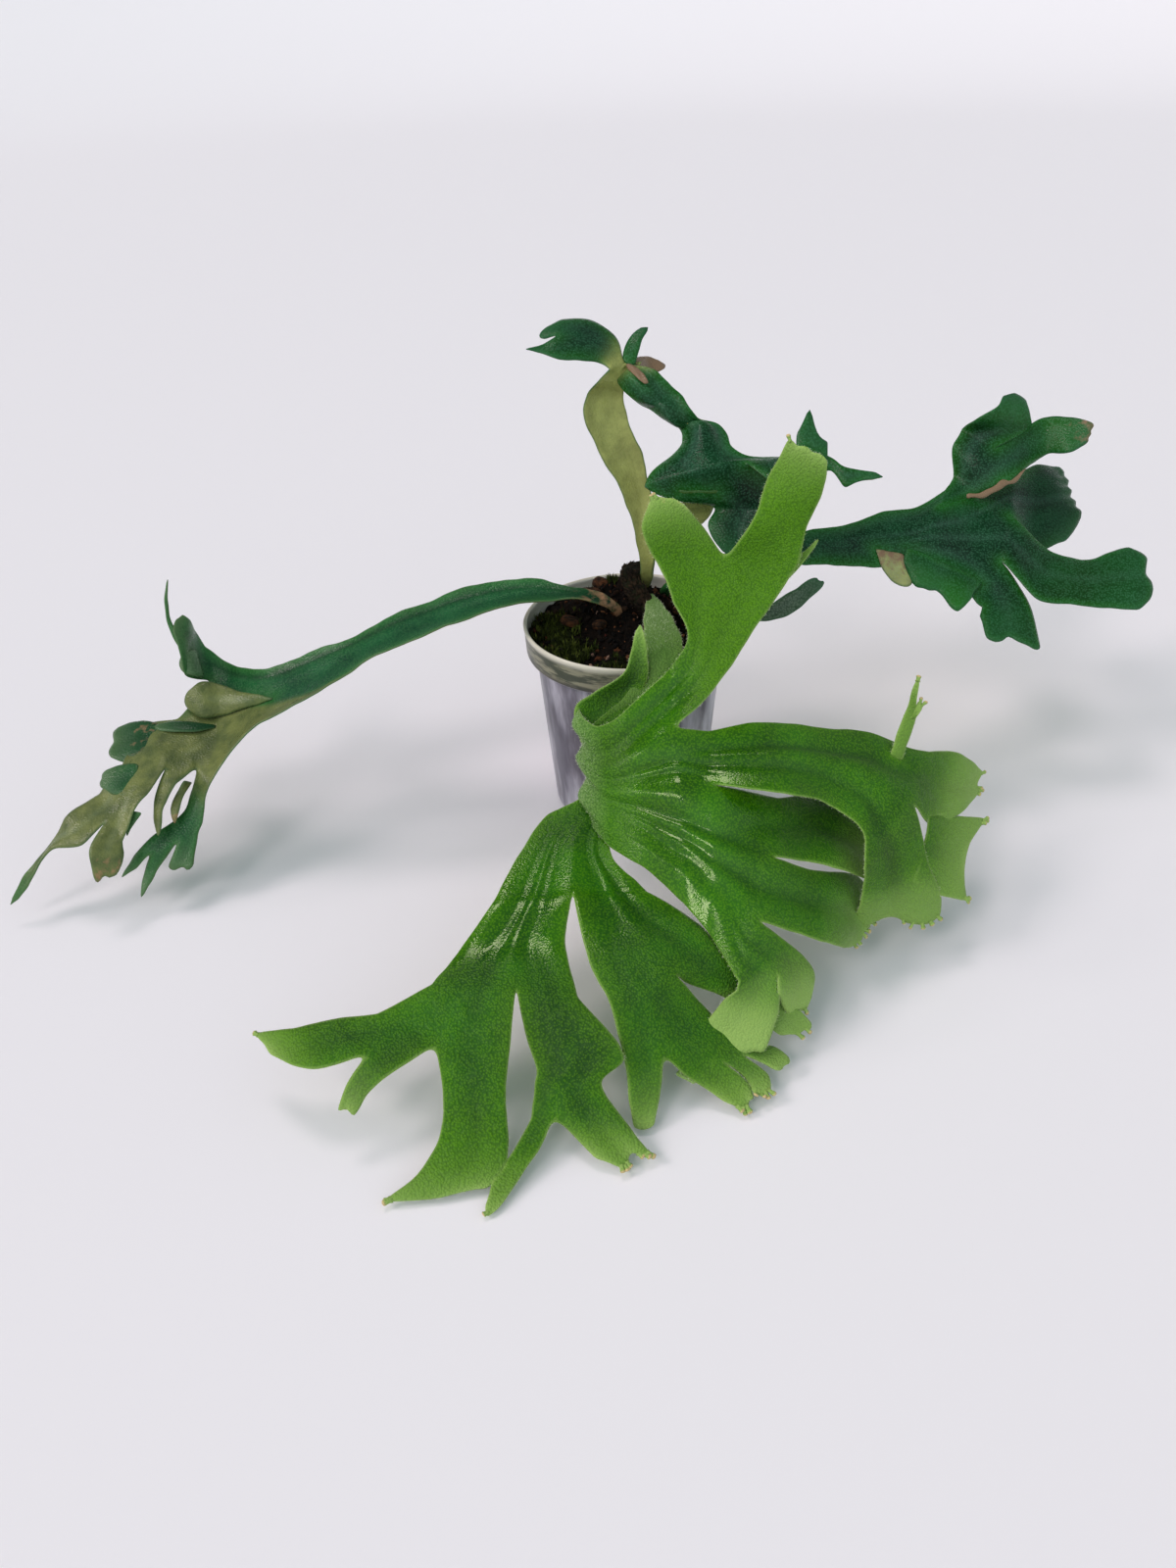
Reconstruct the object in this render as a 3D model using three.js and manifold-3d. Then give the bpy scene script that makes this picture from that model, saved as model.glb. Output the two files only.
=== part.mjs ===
// Potted crested polypodium fern: forked leathery fronds on a creeping rhizome, in a small cloudy
// plastic pot. Millimetres, Z up. The origin is the middle of the pot's underside, the viewer stands
// on the -Y side and the left frond reaches out towards -X.
import * as THREE from 'three';
import Module from 'manifold-3d';

const wasm = await Module();
wasm.setup();

// Driving sizes of the pot
const POT_HEIGHT = 87;
const RIM_RADIUS = 44;
const COLLAR_RADIUS = 43;
const COLLAR_HEIGHT = 13;
const BODY_TOP_RADIUS = 39;
const BASE_RADIUS = 33.5;
const POT_WALL = 1.1;
const DRAIN_RADIUS = 3;
const DRAIN_CIRCLE = 22;
const DRAIN_COUNT = 6;
const POT_SIDES = 48;

// Potting mix, gaps and leaf thickness
const GAP = 0.3;
const HOLE_GAP = 0.5;
const SOIL_LEVEL = 80;
const MOUND_HEIGHT = 11;
const MOUND_CENTRE = [0, 14];
const MOUND_SPREAD = [24, 17];
const BLADE = 0.9;
const STEPS = 2;
const MOST_COLUMNS = 4;

// The fronds were drawn over the photograph. A rib is [left x, left y, left height, right x, right y,
// right height]: two edge points of the leaf as pixels of the 1200 x 1600 frame, each with its height
// above the floor in millimetres. Left and right are meant for someone walking out along the leaf on
// the face that is turned to the viewer. The camera below turns such a point into a place.
const CAMERA = { eye: [-19.4, -424, 303], tiltDown: 35.3, roll: -2.2, focal: 1155, middle: [600, 800] };

const tilt = THREE.MathUtils.degToRad(CAMERA.tiltDown);
const roll = THREE.MathUtils.degToRad(CAMERA.roll);
const EYE = new THREE.Vector3(...CAMERA.eye);
const AHEAD = new THREE.Vector3(0, Math.cos(tilt), -Math.sin(tilt));
const LEVEL = new THREE.Vector3(1, 0, 0);
const STEEP = new THREE.Vector3().crossVectors(LEVEL, AHEAD);
const ACROSS = LEVEL.clone().multiplyScalar(Math.cos(roll)).addScaledVector(STEEP, Math.sin(roll));
const UPWARD = STEEP.clone().multiplyScalar(Math.cos(roll)).addScaledVector(LEVEL, -Math.sin(roll));

// Where the sight line through a pixel reaches a height above the floor
function place(px, py, height) {
  const ray = AHEAD.clone();
  ray.addScaledVector(ACROSS, (px - CAMERA.middle[0]) / CAMERA.focal);
  ray.addScaledVector(UPWARD, -(py - CAMERA.middle[1]) / CAMERA.focal);
  return EYE.clone().addScaledVector(ray, (height - EYE.z) / ray.z);
}

// Outlines of leaf ends: how far, in millimetres, the end runs out beyond its last rib, read from the
// left edge to the right edge
const ROUND_END = [0, 2.6, 2.6, 0];
const FORKED_END = [0, 3.5, 0.6, 4, 0];
const RAGGED_END = [0, 3.2, 1, 3.6, 0];
const POINTED_END = [0, 3, 0];
const FLAT_END = [0, 1.2, 0];
const BROAD_END = [0, 7, 4, 8, 0];

// Front frond, upper leaf layer: the palm of the fan with the two-armed lobe standing up, the long
// lobe to the right and the broad lobe to the lower right
const FAN_TOP = {
  ribs: [[592, 724, 84, 603, 836, 54], [614, 742, 83, 625, 864, 51], [650, 716, 90, 663, 890, 47],
    [684, 684, 97, 698, 922, 43]],
  arch: 0.04,
  kids: [
    {
      until: 0.28,
      ribs: [[702, 651, 107, 722, 712, 93], [686, 612, 118, 767, 647, 108], [675, 582, 126, 800, 598, 122],
        [665, 566, 131, 815, 577, 129]],
      arch: -0.05,
      kids: [
        { until: 0.5, ribs: [[655, 540, 140, 716, 536, 140], [664, 510, 149, 700, 515, 148]], end: FORKED_END },
        { until: 1, ribs: [[767, 532, 144, 824, 536, 142], [785, 485, 158, 842, 495, 156],
          [803, 452, 170, 844, 470, 165]], end: RAGGED_END },
      ],
    },
    {
      until: 1,
      ribs: [[722, 747, 82, 722, 952, 38]],
      kids: [
        {
          until: 0.29,
          ribs: [[771, 739, 81, 793, 811, 71], [842, 745, 76, 842, 822, 64], [890, 750, 71, 878, 850, 57],
            [924, 766, 64, 880, 873, 52]],
          arch: 0.08,
          kids: [
            {
              until: 0.65,
              ribs: [[964, 768, 56, 930, 850, 47]],
              kids: [
                { until: 0.45, ribs: [[988, 780, 47, 972, 824, 43], [1001, 786, 42, 1000, 812, 38]], end: RAGGED_END },
                { until: 0.65, ribs: [[985, 834, 40, 978, 850, 38], [1010, 829, 34, 1012, 840, 33]], end: FLAT_END },
                { until: 1, ribs: [[988, 868, 30, 948, 885, 35], [986, 908, 21, 958, 914, 20]], end: RAGGED_END },
              ],
            },
            {
              until: 1,
              ribs: [[932, 853, 46, 879, 886, 44], [950, 888, 37, 877, 912, 34], [961, 932, 22, 868, 940, 22]],
              end: RAGGED_END,
            },
          ],
        },
        {
          until: 1,
          ribs: [[793, 815, 60, 752, 1002, 31]],
          kids: [
            { until: 0.36, ribs: [[842, 814, 50, 827, 882, 46], [880, 838, 45, 866, 888, 44]], end: ROUND_END },
            { until: 0.72, ribs: [[827, 892, 43, 813, 955, 35], [876, 896, 32, 848, 962, 28],
              [890, 938, 20, 866, 964, 20]], end: RAGGED_END },
            { until: 1, ribs: [[818, 976, 28, 740, 1020, 26], [829, 1003, 22, 727, 1036, 21],
              [822, 1034, 12, 714, 1060, 13]], end: BROAD_END },
          ],
        },
      ],
    },
  ],
};

// Front frond, small lobe that stands up from the fold behind the two-armed lobe
const FAN_EAR = {
  ribs: [[592, 758, 75, 626, 764, 74], [597, 718, 84, 634, 736, 80], [614, 709, 87, 649, 715, 83],
    [635, 688, 92, 661, 690, 90], [644, 664, 98, 661, 668, 97], [649, 644, 104, 657, 646, 104]],
  arch: -0.12,
  end: POINTED_END,
};

// Front frond, thin strap that rises behind the long lobe
const FAN_STRAP = {
  ribs: [[903, 782, 62, 924, 786, 60], [911, 762, 70, 924, 764, 69.5], [923, 735, 81, 932, 737, 81],
    [935, 700, 94, 941, 702, 94]],
  end: POINTED_END,
};

// Front frond, small finger on the near edge of the two-armed lobe
const FAN_FINGER = {
  ribs: [[806, 574, 128, 804, 592, 124], [824, 560, 131, 819, 575, 128], [832, 552, 133, 831, 559, 131]],
  end: POINTED_END,
};

// Front frond, stalk and lower leaf layer: from the crown over the rim, behind the palm, then out to
// the lobes that reach the floor
const FAN_BELOW = {
  ribs: [[672, 620, 82, 661, 620, 82], [676, 612, 93, 660, 611, 93], [688, 628, 97, 658, 634, 96],
    [697, 655, 97, 660, 664, 95], [695, 690, 88, 625, 712, 84], [690, 745, 70, 596, 752, 76],
    [665, 800, 57, 601, 806, 61.6], [622, 868, 50, 556, 836, 55], [660, 912, 43, 503, 922, 46]],
  base: 2.4,
  arch: 0.05,
  kids: [
    {
      until: 0.49,
      ribs: [[702, 936, 39, 600, 980, 40], [745, 975, 33, 622, 1025, 34]],
      kids: [
        { until: 0.36, ribs: [[790, 1005, 24, 740, 1020, 27], [824, 1036, 14, 770, 1066, 15],
          [826, 1050, 10, 802, 1074, 9]], end: RAGGED_END },
        {
          until: 1,
          ribs: [[735, 1048, 20, 637, 1086, 20]],
          kids: [
            { until: 0.6, ribs: [[768, 1076, 13, 694, 1092, 13], [790, 1106, 6, 714, 1110, 7]], end: BROAD_END },
            { until: 1, ribs: [[675, 1112, 11, 642, 1122, 10], [667, 1149, 3, 646, 1151, 3]], end: FLAT_END },
          ],
        },
      ],
    },
    {
      until: 1,
      ribs: [[577, 966, 40, 464, 978, 39], [590, 1018, 34, 441, 1006, 37]],
      kids: [
        {
          until: 0.42,
          ribs: [[632, 1066, 25, 538, 1062, 26], [617, 1106, 17, 547, 1105, 17], [632, 1140, 10, 541, 1144, 11]],
          kids: [
            { until: 0.75, ribs: [[657, 1166, 5, 581, 1168, 6], [660, 1181, 2.8, 613, 1194, 2.6]], end: RAGGED_END },
            { until: 1, ribs: [[549, 1172, 7, 526, 1169, 7], [530, 1197, 4, 509, 1195, 4],
              [502, 1234, 2, 490, 1234, 2]], end: POINTED_END },
          ],
        },
        {
          until: 1,
          ribs: [[517, 1104, 21, 386, 1035, 33]],
          kids: [
            { until: 0.53, ribs: [[517, 1138, 14, 456, 1120, 17], [516, 1180, 7, 443, 1178, 9],
              [498, 1212, 3, 392, 1225, 2.4]], end: ROUND_END },
            {
              until: 1,
              ribs: [[393, 1102, 27, 352, 1036, 31]],
              kids: [
                { until: 0.35, ribs: [[372, 1121, 22, 352, 1104, 24], [362, 1132, 19, 348, 1128, 19]], end: FLAT_END },
                { until: 1, ribs: [[337, 1091, 26, 306, 1044, 28], [278, 1073, 23, 266, 1054, 24]], end: POINTED_END },
              ],
            },
          ],
        },
      ],
    },
  ],
};

// Left frond: thin dark stipe, long narrow blade over the rim, then a crest of drooping lobes
const LEFT_FROND = {
  ribs: [[630, 638, 78, 638, 638, 78], [627, 626, 88, 635, 622, 89], [612, 616, 95, 618, 607, 96],
    [592, 612, 98, 595, 601, 99], [560, 613, 99, 562, 594, 101], [531, 616, 100, 538, 591, 102],
    [481, 630, 99, 490, 596, 102], [448, 643, 96, 442, 612, 98], [415, 656, 92, 408, 625, 94],
    [372, 676, 85, 359, 650, 87], [332, 703, 77, 310, 668, 79], [285, 728, 68, 268, 683, 71],
    [245, 755, 58, 226, 668, 68], [225, 783, 50, 203, 658, 73]],
  base: 2.2,
  slim: 4,
  steps: 1,
  arch: -0.1,
  kids: [
    {
      until: 0.78,
      ribs: [[214, 802, 44, 182, 733, 56]],
      kids: [
        {
          until: 0.28,
          ribs: [[206, 832, 33, 192, 820, 35], [191, 866, 24, 160, 850, 28]],
          kids: [
            { until: 0.5, ribs: [[191, 892, 16, 178, 892, 16]], end: FLAT_END },
            {
              until: 1,
              ribs: [[160, 884, 20, 140, 870, 22]],
              kids: [
                { until: 0.5, ribs: [[146, 912, 12, 143, 908, 12]], end: POINTED_END },
                { until: 1, ribs: [[131, 893, 16, 128, 889, 17]], end: POINTED_END },
              ],
            },
          ],
        },
        {
          until: 1,
          ribs: [[180, 799, 47, 142, 742, 55]],
          kids: [
            { until: 0.24, ribs: [[167, 824, 40, 157, 822, 40], [164, 848, 33, 159, 848, 33]], end: POINTED_END },
            {
              until: 1,
              ribs: [[150, 812, 45, 122, 757, 51]],
              kids: [
                {
                  until: 0.7,
                  ribs: [[139, 826, 42, 104, 794, 46], [124, 862, 34, 98, 814, 40]],
                  kids: [
                    { until: 0.42, ribs: [[120, 888, 25, 96, 893, 25]], end: FORKED_END },
                    { until: 1, ribs: [[86, 862, 32, 74, 830, 37], [52, 868, 28, 60, 850, 30],
                      [34, 898, 19, 30, 889, 20], [17, 918, 11, 12, 918, 11]], end: POINTED_END },
                  ],
                },
                { until: 1, ribs: [[112, 772, 50, 113, 755, 52]], end: FLAT_END },
              ],
            },
          ],
        },
      ],
    },
    {
      until: 1,
      ribs: [[186, 684, 70, 197, 635, 80], [178, 648, 87, 183, 624, 90], [167, 610, 101, 174, 610, 101],
        [170, 591, 107, 174, 593, 107]],
      end: POINTED_END,
    },
  ],
};

// Back frond: stiff olive blade that rises behind the crown, bends over and hangs forward
const BACK_FROND = {
  ribs: [[652, 608, 82, 662, 608, 82], [653, 585, 97, 666, 585, 97], [650, 553, 112, 670, 560, 110],
    [635, 504, 132, 664, 504, 131], [612, 463, 148, 655, 463, 147], [596, 425, 163, 641, 430, 159],
    [598, 402, 171, 636, 404, 168], [610, 390, 176, 640, 390, 174], [622, 378, 180, 655, 368, 181]],
  base: 2.4,
  arch: -0.12,
  kids: [
    {
      until: 0.5,
      ribs: [[612, 371, 182, 630, 348, 187], [590, 368, 185, 600, 326, 194], [570, 367, 186, 574, 326, 195]],
      kids: [
        { until: 0.5, ribs: [[553, 361, 188, 554, 352, 190], [542, 358, 189, 542, 355, 190]], end: POINTED_END },
        { until: 1, ribs: [[556, 346, 191, 557, 334, 194]], end: ROUND_END },
      ],
    },
    {
      until: 1,
      ribs: [[665, 384, 178, 632, 393, 174], [681, 389, 175, 648, 407, 168], [698, 407, 170, 666, 424, 163],
        [709, 426, 164, 690, 437, 158], [738, 443, 158, 690, 457, 152], [758, 466, 153, 672, 478, 147],
        [800, 466, 152, 660, 502, 141]],
      kids: [
        {
          until: 0.3,
          ribs: [[820, 455, 157, 804, 500, 146], [850, 468, 153, 848, 488, 148], [866, 474, 151, 864, 498, 145],
            [890, 483, 148, 886, 492, 146]],
          end: FLAT_END,
        },
        { until: 1, ribs: [[795, 522, 132, 727, 530, 131], [778, 556, 121, 738, 560, 121]], end: ROUND_END },
      ],
    },
  ],
};

// Back frond, small side lobes
const BACK_HORN = {
  ribs: [[806, 470, 152, 838, 474, 150], [814, 446, 160, 838, 458, 156], [822, 424, 169, 828, 428, 168]],
  end: POINTED_END,
};
const BACK_CURL = {
  ribs: [[632, 374, 180, 648, 374, 180], [641, 346, 188, 654, 350, 187], [649, 338, 190, 661, 338, 190]],
  end: FORKED_END,
};
const BACK_DISC = {
  ribs: [[646, 366, 181, 650, 386, 176], [662, 364, 179, 664, 384, 174], [672, 369, 177, 672, 379, 175]],
  end: ROUND_END,
};

// Right frond: dark stipe behind the front frond, then a crest of broad lobes out to the right
const RIGHT_FROND = {
  ribs: [[674, 612, 80, 682, 612, 80], [677, 597, 93, 686, 600, 92], [702, 580, 101, 707, 590, 99],
    [740, 565, 105, 742, 578, 102], [790, 552, 107, 790, 573, 102], [823, 543, 108, 822, 576, 101],
    [871, 534, 108, 858, 578, 99], [898, 524, 109, 895, 579, 97], [937, 517, 109, 916, 580, 95],
    [963, 503, 111, 927, 584, 94]],
  base: 2.2,
  slim: 4,
  steps: 1,
  arch: 0.08,
  kids: [
    {
      until: 0.3,
      ribs: [[973, 485, 116, 992, 509, 108], [972, 455, 128, 1023, 497, 113], [982, 438, 134, 1040, 485, 117]],
      kids: [
        { until: 0.5, ribs: [[998, 422, 142, 1047, 436, 134], [1022, 401, 149, 1049, 413, 144]], end: ROUND_END },
        { until: 1, ribs: [[1062, 427, 134, 1076, 463, 121], [1099, 426, 136, 1110, 455, 126]], end: FORKED_END },
      ],
    },
    {
      until: 1,
      ribs: [[1008, 512, 105, 985, 604, 86], [1035, 500, 104, 1002, 622, 81]],
      kids: [
        { until: 0.35, ribs: [[1068, 472, 107, 1062, 561, 91], [1092, 488, 102, 1100, 543, 91]],
          end: ROUND_END },
        { until: 0.7, ribs: [[1075, 563, 91, 1060, 612, 83], [1112, 571, 89, 1105, 618, 80],
          [1156, 556, 92, 1170, 620, 77]], end: ROUND_END },
        { until: 1, ribs: [[1052, 622, 79, 1006, 640, 76], [1058, 660, 70, 1014, 656, 70]], end: RAGGED_END },
      ],
    },
  ],
};

// Right frond, two small flaps under the near edge
const RIGHT_FLAP = {
  ribs: [[962, 590, 90, 922, 574, 96], [976, 612, 83, 942, 600, 88], [974, 622, 80, 962, 620, 80]],
  end: ROUND_END,
};
const RIGHT_CURL = {
  ribs: [[926, 572, 97, 890, 558, 103], [918, 580, 93, 893, 566, 98], [932, 600, 87, 905, 589, 90]],
  end: ROUND_END,
};

// Small rear frond: a young stem with one curled lobe
const SMALL_FROND = {
  ribs: [[694, 624, 78, 702, 624, 78], [702, 612, 90, 710, 616, 89], [735, 617, 97, 737, 627, 95],
    [779, 619, 97, 783, 634, 92], [803, 606, 99, 812, 623, 93], [826, 591, 102, 839, 599, 98]],
  base: 1.8,
  slim: 3,
  arch: -0.1,
  end: FORKED_END,
};

// Curve through four points, at the share t between the second and the third
function onCurve(a, b, c, d, t) {
  const curve = new THREE.CatmullRomCurve3([a, b, c, d], false, 'centripetal');
  return curve.getPoint((1 + t) / 3);
}

function mix(a, b, share) {
  return a.clone().lerp(b, share);
}

// Shares of the leaf's width where its columns of points lie
function columnShares(leaf) {
  const shares = [0];
  if (!leaf.kids) {
    const columns = Math.min(leaf.end.length - 1, MOST_COLUMNS);
    for (let i = 1; i <= columns; i += 1) {
      shares.push(i / columns);
    }
    return shares;
  }
  let from = 0;
  for (const kid of leaf.kids) {
    for (const share of columnShares(kid).slice(1)) {
      shares.push(from + (kid.until - from) * share);
    }
    from = kid.until;
  }
  return shares;
}

function endReach(end, share) {
  const at = share * (end.length - 1);
  const low = Math.min(Math.floor(at), end.length - 2);
  return THREE.MathUtils.lerp(end[low], end[low + 1], at - low);
}

// Lays one leaf of the tree as rows of points and hands its last row on to the lobes it forks into.
// pad widens the leaf on all sides, for the holes that stems stand in.
function layLeaf(sheet, leaf, start, before, pad) {
  const shares = columnShares(leaf);
  const ribs = leaf.ribs.map((rib) => [place(...rib.slice(0, 3)), place(...rib.slice(3))]);
  const steps = leaf.steps || STEPS;
  let row = start;
  if (start) {
    ribs.unshift([sheet.points[start[0]].clone(), sheet.points[start[start.length - 1]].clone()]);
  }
  for (const rib of start ? [] : ribs) {
    const out = rib[0].clone().sub(rib[1]).setLength(pad);
    rib[0].add(out);
    rib[1].sub(out);
  }
  const ahead = before || ribs[0].map((p, i) => mix(p, ribs[1][i], -1));
  const last = ribs[ribs.length - 1].map((p, i) => mix(p, ribs[ribs.length - 2][i], -1));
  const path = [ahead, ...ribs, last];
  const bulge = start ? start.map((id, i) => sheet.points[id].clone().sub(mix(ribs[0][0], ribs[0][1], shares[i])))
    : shares.map(() => new THREE.Vector3());
  let previous = ahead;
  let across = ribs[0];
  const count = (ribs.length - 1) * steps;
  for (let k = start ? 1 : 0; k <= count; k += 1) {
    const span = Math.min(Math.floor(k / steps), ribs.length - 2);
    const t = k / steps - span;
    const pair = [0, 1].map((side) => onCurve(path[span][side], path[span + 1][side], path[span + 2][side],
      path[span + 3][side], t));
    const onward = mix(pair[0], pair[1], 0.5).sub(mix(across[0], across[1], 0.5));
    if (k === 0) {
      onward.copy(mix(ribs[1][0], ribs[1][1], 0.5)).sub(mix(pair[0], pair[1], 0.5));
    }
    onward.normalize();
    const width = pair[0].clone().sub(pair[1]);
    const face = new THREE.Vector3().crossVectors(onward, width).normalize();
    const own = THREE.MathUtils.smoothstep(k / steps, 0, 1.5);
    const stem = leaf.base ? leaf.base * (1 - THREE.MathUtils.smoothstep(k / steps, 1, leaf.slim || 3)) : 0;
    const next = shares.map((share, i) => {
      const point = mix(pair[0], pair[1], share);
      const hump = 4 * share * (1 - share);
      point.addScaledVector(face, (leaf.arch || 0) * width.length() * hump * (start ? own : 1));
      point.addScaledVector(bulge[i], start ? 1 - own : 0);
      if (!leaf.kids) {
        const near = Math.max(0, k / steps - (ribs.length - 2));
        point.addScaledVector(onward, endReach(leaf.end, share) * near * near);
      }
      if (k === 0) {
        point.addScaledVector(onward, -pad);
      }
      sheet.thick.push(Math.max(BLADE, stem * (0.55 + 0.45 * hump)) + 2 * pad);
      return sheet.points.push(point) - 1;
    });
    if (row) {
      for (let i = 0; i + 1 < next.length; i += 1) {
        sheet.faces.push([row[i], row[i + 1], next[i + 1]], [row[i], next[i + 1], next[i]]);
      }
    }
    row = next;
    previous = across;
    across = pair;
  }
  let first = 0;
  let from = 0;
  for (const kid of leaf.kids || []) {
    const held = columnShares(kid).length;
    const behind = [mix(previous[0], previous[1], from), mix(previous[0], previous[1], kid.until)];
    layLeaf(sheet, kid, row.slice(first, first + held), behind, pad);
    first += held - 1;
    from = kid.until;
  }
}

// Gives a leaf its thickness: both faces are cut into triangles alike and a wall closes the margin
function thicken(sheet) {
  const normals = sheet.points.map(() => new THREE.Vector3());
  for (const face of sheet.faces) {
    const [a, b, c] = face.map((id) => sheet.points[id]);
    const normal = new THREE.Vector3().crossVectors(b.clone().sub(a), c.clone().sub(a));
    face.forEach((id) => normals[id].add(normal));
  }
  const verts = [];
  for (const side of [0.5, -0.5]) {
    sheet.points.forEach((point, i) => {
      const shift = normals[i].clone().normalize().multiplyScalar(side * sheet.thick[i]);
      verts.push(...point.clone().add(shift).toArray());
    });
  }
  const under = sheet.points.length;
  const edges = new Set(sheet.faces.flatMap(([a, b, c]) => [`${a} ${b}`, `${b} ${c}`, `${c} ${a}`]));
  const tris = [];
  for (const [a, b, c] of sheet.faces) {
    tris.push(a, b, c, under + a, under + c, under + b);
  }
  for (const edge of edges) {
    const [a, b] = edge.split(' ').map(Number);
    if (!edges.has(`${b} ${a}`)) {
      tris.push(b, a, under + a, b, under + a, under + b);
    }
  }
  return solid(verts, tris);
}

function solid(verts, tris) {
  const mesh = new wasm.Mesh({ numProp: 3, vertProperties: new Float32Array(verts), triVerts: new Uint32Array(tris) });
  mesh.merge();
  return new wasm.Manifold(mesh);
}

function leafSolid(leaf, pad) {
  const sheet = { points: [], thick: [], faces: [] };
  layLeaf(sheet, leaf, null, null, pad);
  return thicken(sheet);
}

function frondSolid(leaves, pad = 0) {
  return leaves.map((leaf) => leafSolid(leaf, pad)).reduce((whole, leaf) => whole.add(leaf));
}

// Turned body from an outline of [radius, height] points that starts and ends on the pot's axis
function turned(outline, sides, waver = () => 0) {
  const rings = outline.slice(1, -1);
  const verts = [0, 0, outline[0][1] + waver(0, 0, outline[0][1])];
  for (const [radius, height] of rings) {
    for (let s = 0; s < sides; s += 1) {
      const turn = (2 * Math.PI * s) / sides;
      const x = radius * Math.cos(turn);
      const y = radius * Math.sin(turn);
      verts.push(x, y, height + waver(x, y, height));
    }
  }
  const top = outline[outline.length - 1][1];
  verts.push(0, 0, top + waver(0, 0, top));
  const tris = [];
  const end = rings.length * sides + 1;
  for (let s = 0; s < sides; s += 1) {
    const next = (s + 1) % sides;
    tris.push(0, 1 + next, 1 + s, end, end - sides + s, end - sides + next);
    for (let k = 0; k + 1 < rings.length; k += 1) {
      const low = 1 + k * sides;
      const high = low + sides;
      tris.push(low + s, low + next, high + next, low + s, high + next, high + s);
    }
  }
  return solid(verts, tris);
}

// Pot: moulded tub with a stepped collar, a rolled lip and round drain holes in its base
function potSolid() {
  const shelf = POT_HEIGHT - COLLAR_HEIGHT;
  const tub = turned([
    [0, 0], [BASE_RADIUS - 1.2, 0], [BASE_RADIUS, 1.2], [BODY_TOP_RADIUS, shelf - 2.5],
    [BODY_TOP_RADIUS + 0.8, shelf - 1], [COLLAR_RADIUS, shelf], [COLLAR_RADIUS + 0.1, shelf + 1],
    [RIM_RADIUS - 0.3, POT_HEIGHT - 2], [RIM_RADIUS, POT_HEIGHT - 1], [RIM_RADIUS - 0.4, POT_HEIGHT],
    [RIM_RADIUS - POT_WALL, POT_HEIGHT - 0.3], [COLLAR_RADIUS - POT_WALL, shelf + 2],
    [BODY_TOP_RADIUS - POT_WALL + 0.4, shelf + 0.5], [BODY_TOP_RADIUS - POT_WALL, shelf - 2.5],
    [BASE_RADIUS - POT_WALL, POT_WALL + 1.5], [BASE_RADIUS - POT_WALL - 1.5, POT_WALL], [0, POT_WALL],
  ], POT_SIDES);
  const drill = turned([[0, -1], [DRAIN_RADIUS, -1], [DRAIN_RADIUS, POT_WALL + 1], [0, POT_WALL + 1]], 20);
  let pot = tub;
  for (let i = 0; i < DRAIN_COUNT; i += 1) {
    const turn = (2 * Math.PI * (i + 0.5)) / DRAIN_COUNT;
    pot = pot.subtract(drill.translate([DRAIN_CIRCLE * Math.cos(turn), DRAIN_CIRCLE * Math.sin(turn), 0]));
  }
  return pot;
}

// Height of the potting mix above its level at the pot's wall: a mound at the crown and small lumps
function soilRise(x, y) {
  const [mx, my] = MOUND_CENTRE;
  const [sx, sy] = MOUND_SPREAD;
  const mound = MOUND_HEIGHT * Math.exp(-(((x - mx) / sx) ** 2) - ((y - my) / sy) ** 2);
  return mound + 0.7 * Math.sin(0.42 * x + 1) * Math.cos(0.37 * y) + 0.4 * Math.sin(0.8 * y + 0.5 * x);
}

// Potting mix with the root ball in it: fills the tub to a little below the lip
function soilSolid() {
  const shelf = POT_HEIGHT - COLLAR_HEIGHT;
  const wall = POT_WALL + GAP;
  const rim = COLLAR_RADIUS - wall;
  const rings = [1, 0.86, 0.72, 0.58, 0.44, 0.3, 0.15].map((share) => [rim * share, SOIL_LEVEL]);
  const outline = [
    [0, wall], [BASE_RADIUS - wall - 1.7, wall], [BASE_RADIUS - wall, wall + 1.7],
    [BODY_TOP_RADIUS - wall, shelf - 2.5], [BODY_TOP_RADIUS - wall + 0.4, shelf + 0.9], [rim, shelf + 2.4],
    ...rings, [0, SOIL_LEVEL],
  ];
  return turned(outline, 40, (x, y, z) => (z === SOIL_LEVEL ? soilRise(x, y) : 0));
}

// Rhizome: a short knobbly stem that creeps over the mound, half sunk in it
const RHIZOME_PATH = [[9, 36, 84], [6, 32, 92], [2, 24, 95], [2, 15, 95], [5, 7, 93], [9, 0, 90], [12, -6, 87]];
const RHIZOME_RADII = [2.2, 4, 4.6, 3.8, 4.4, 3.6, 1.6];
const RHIZOME_SIDES = 14;

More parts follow.
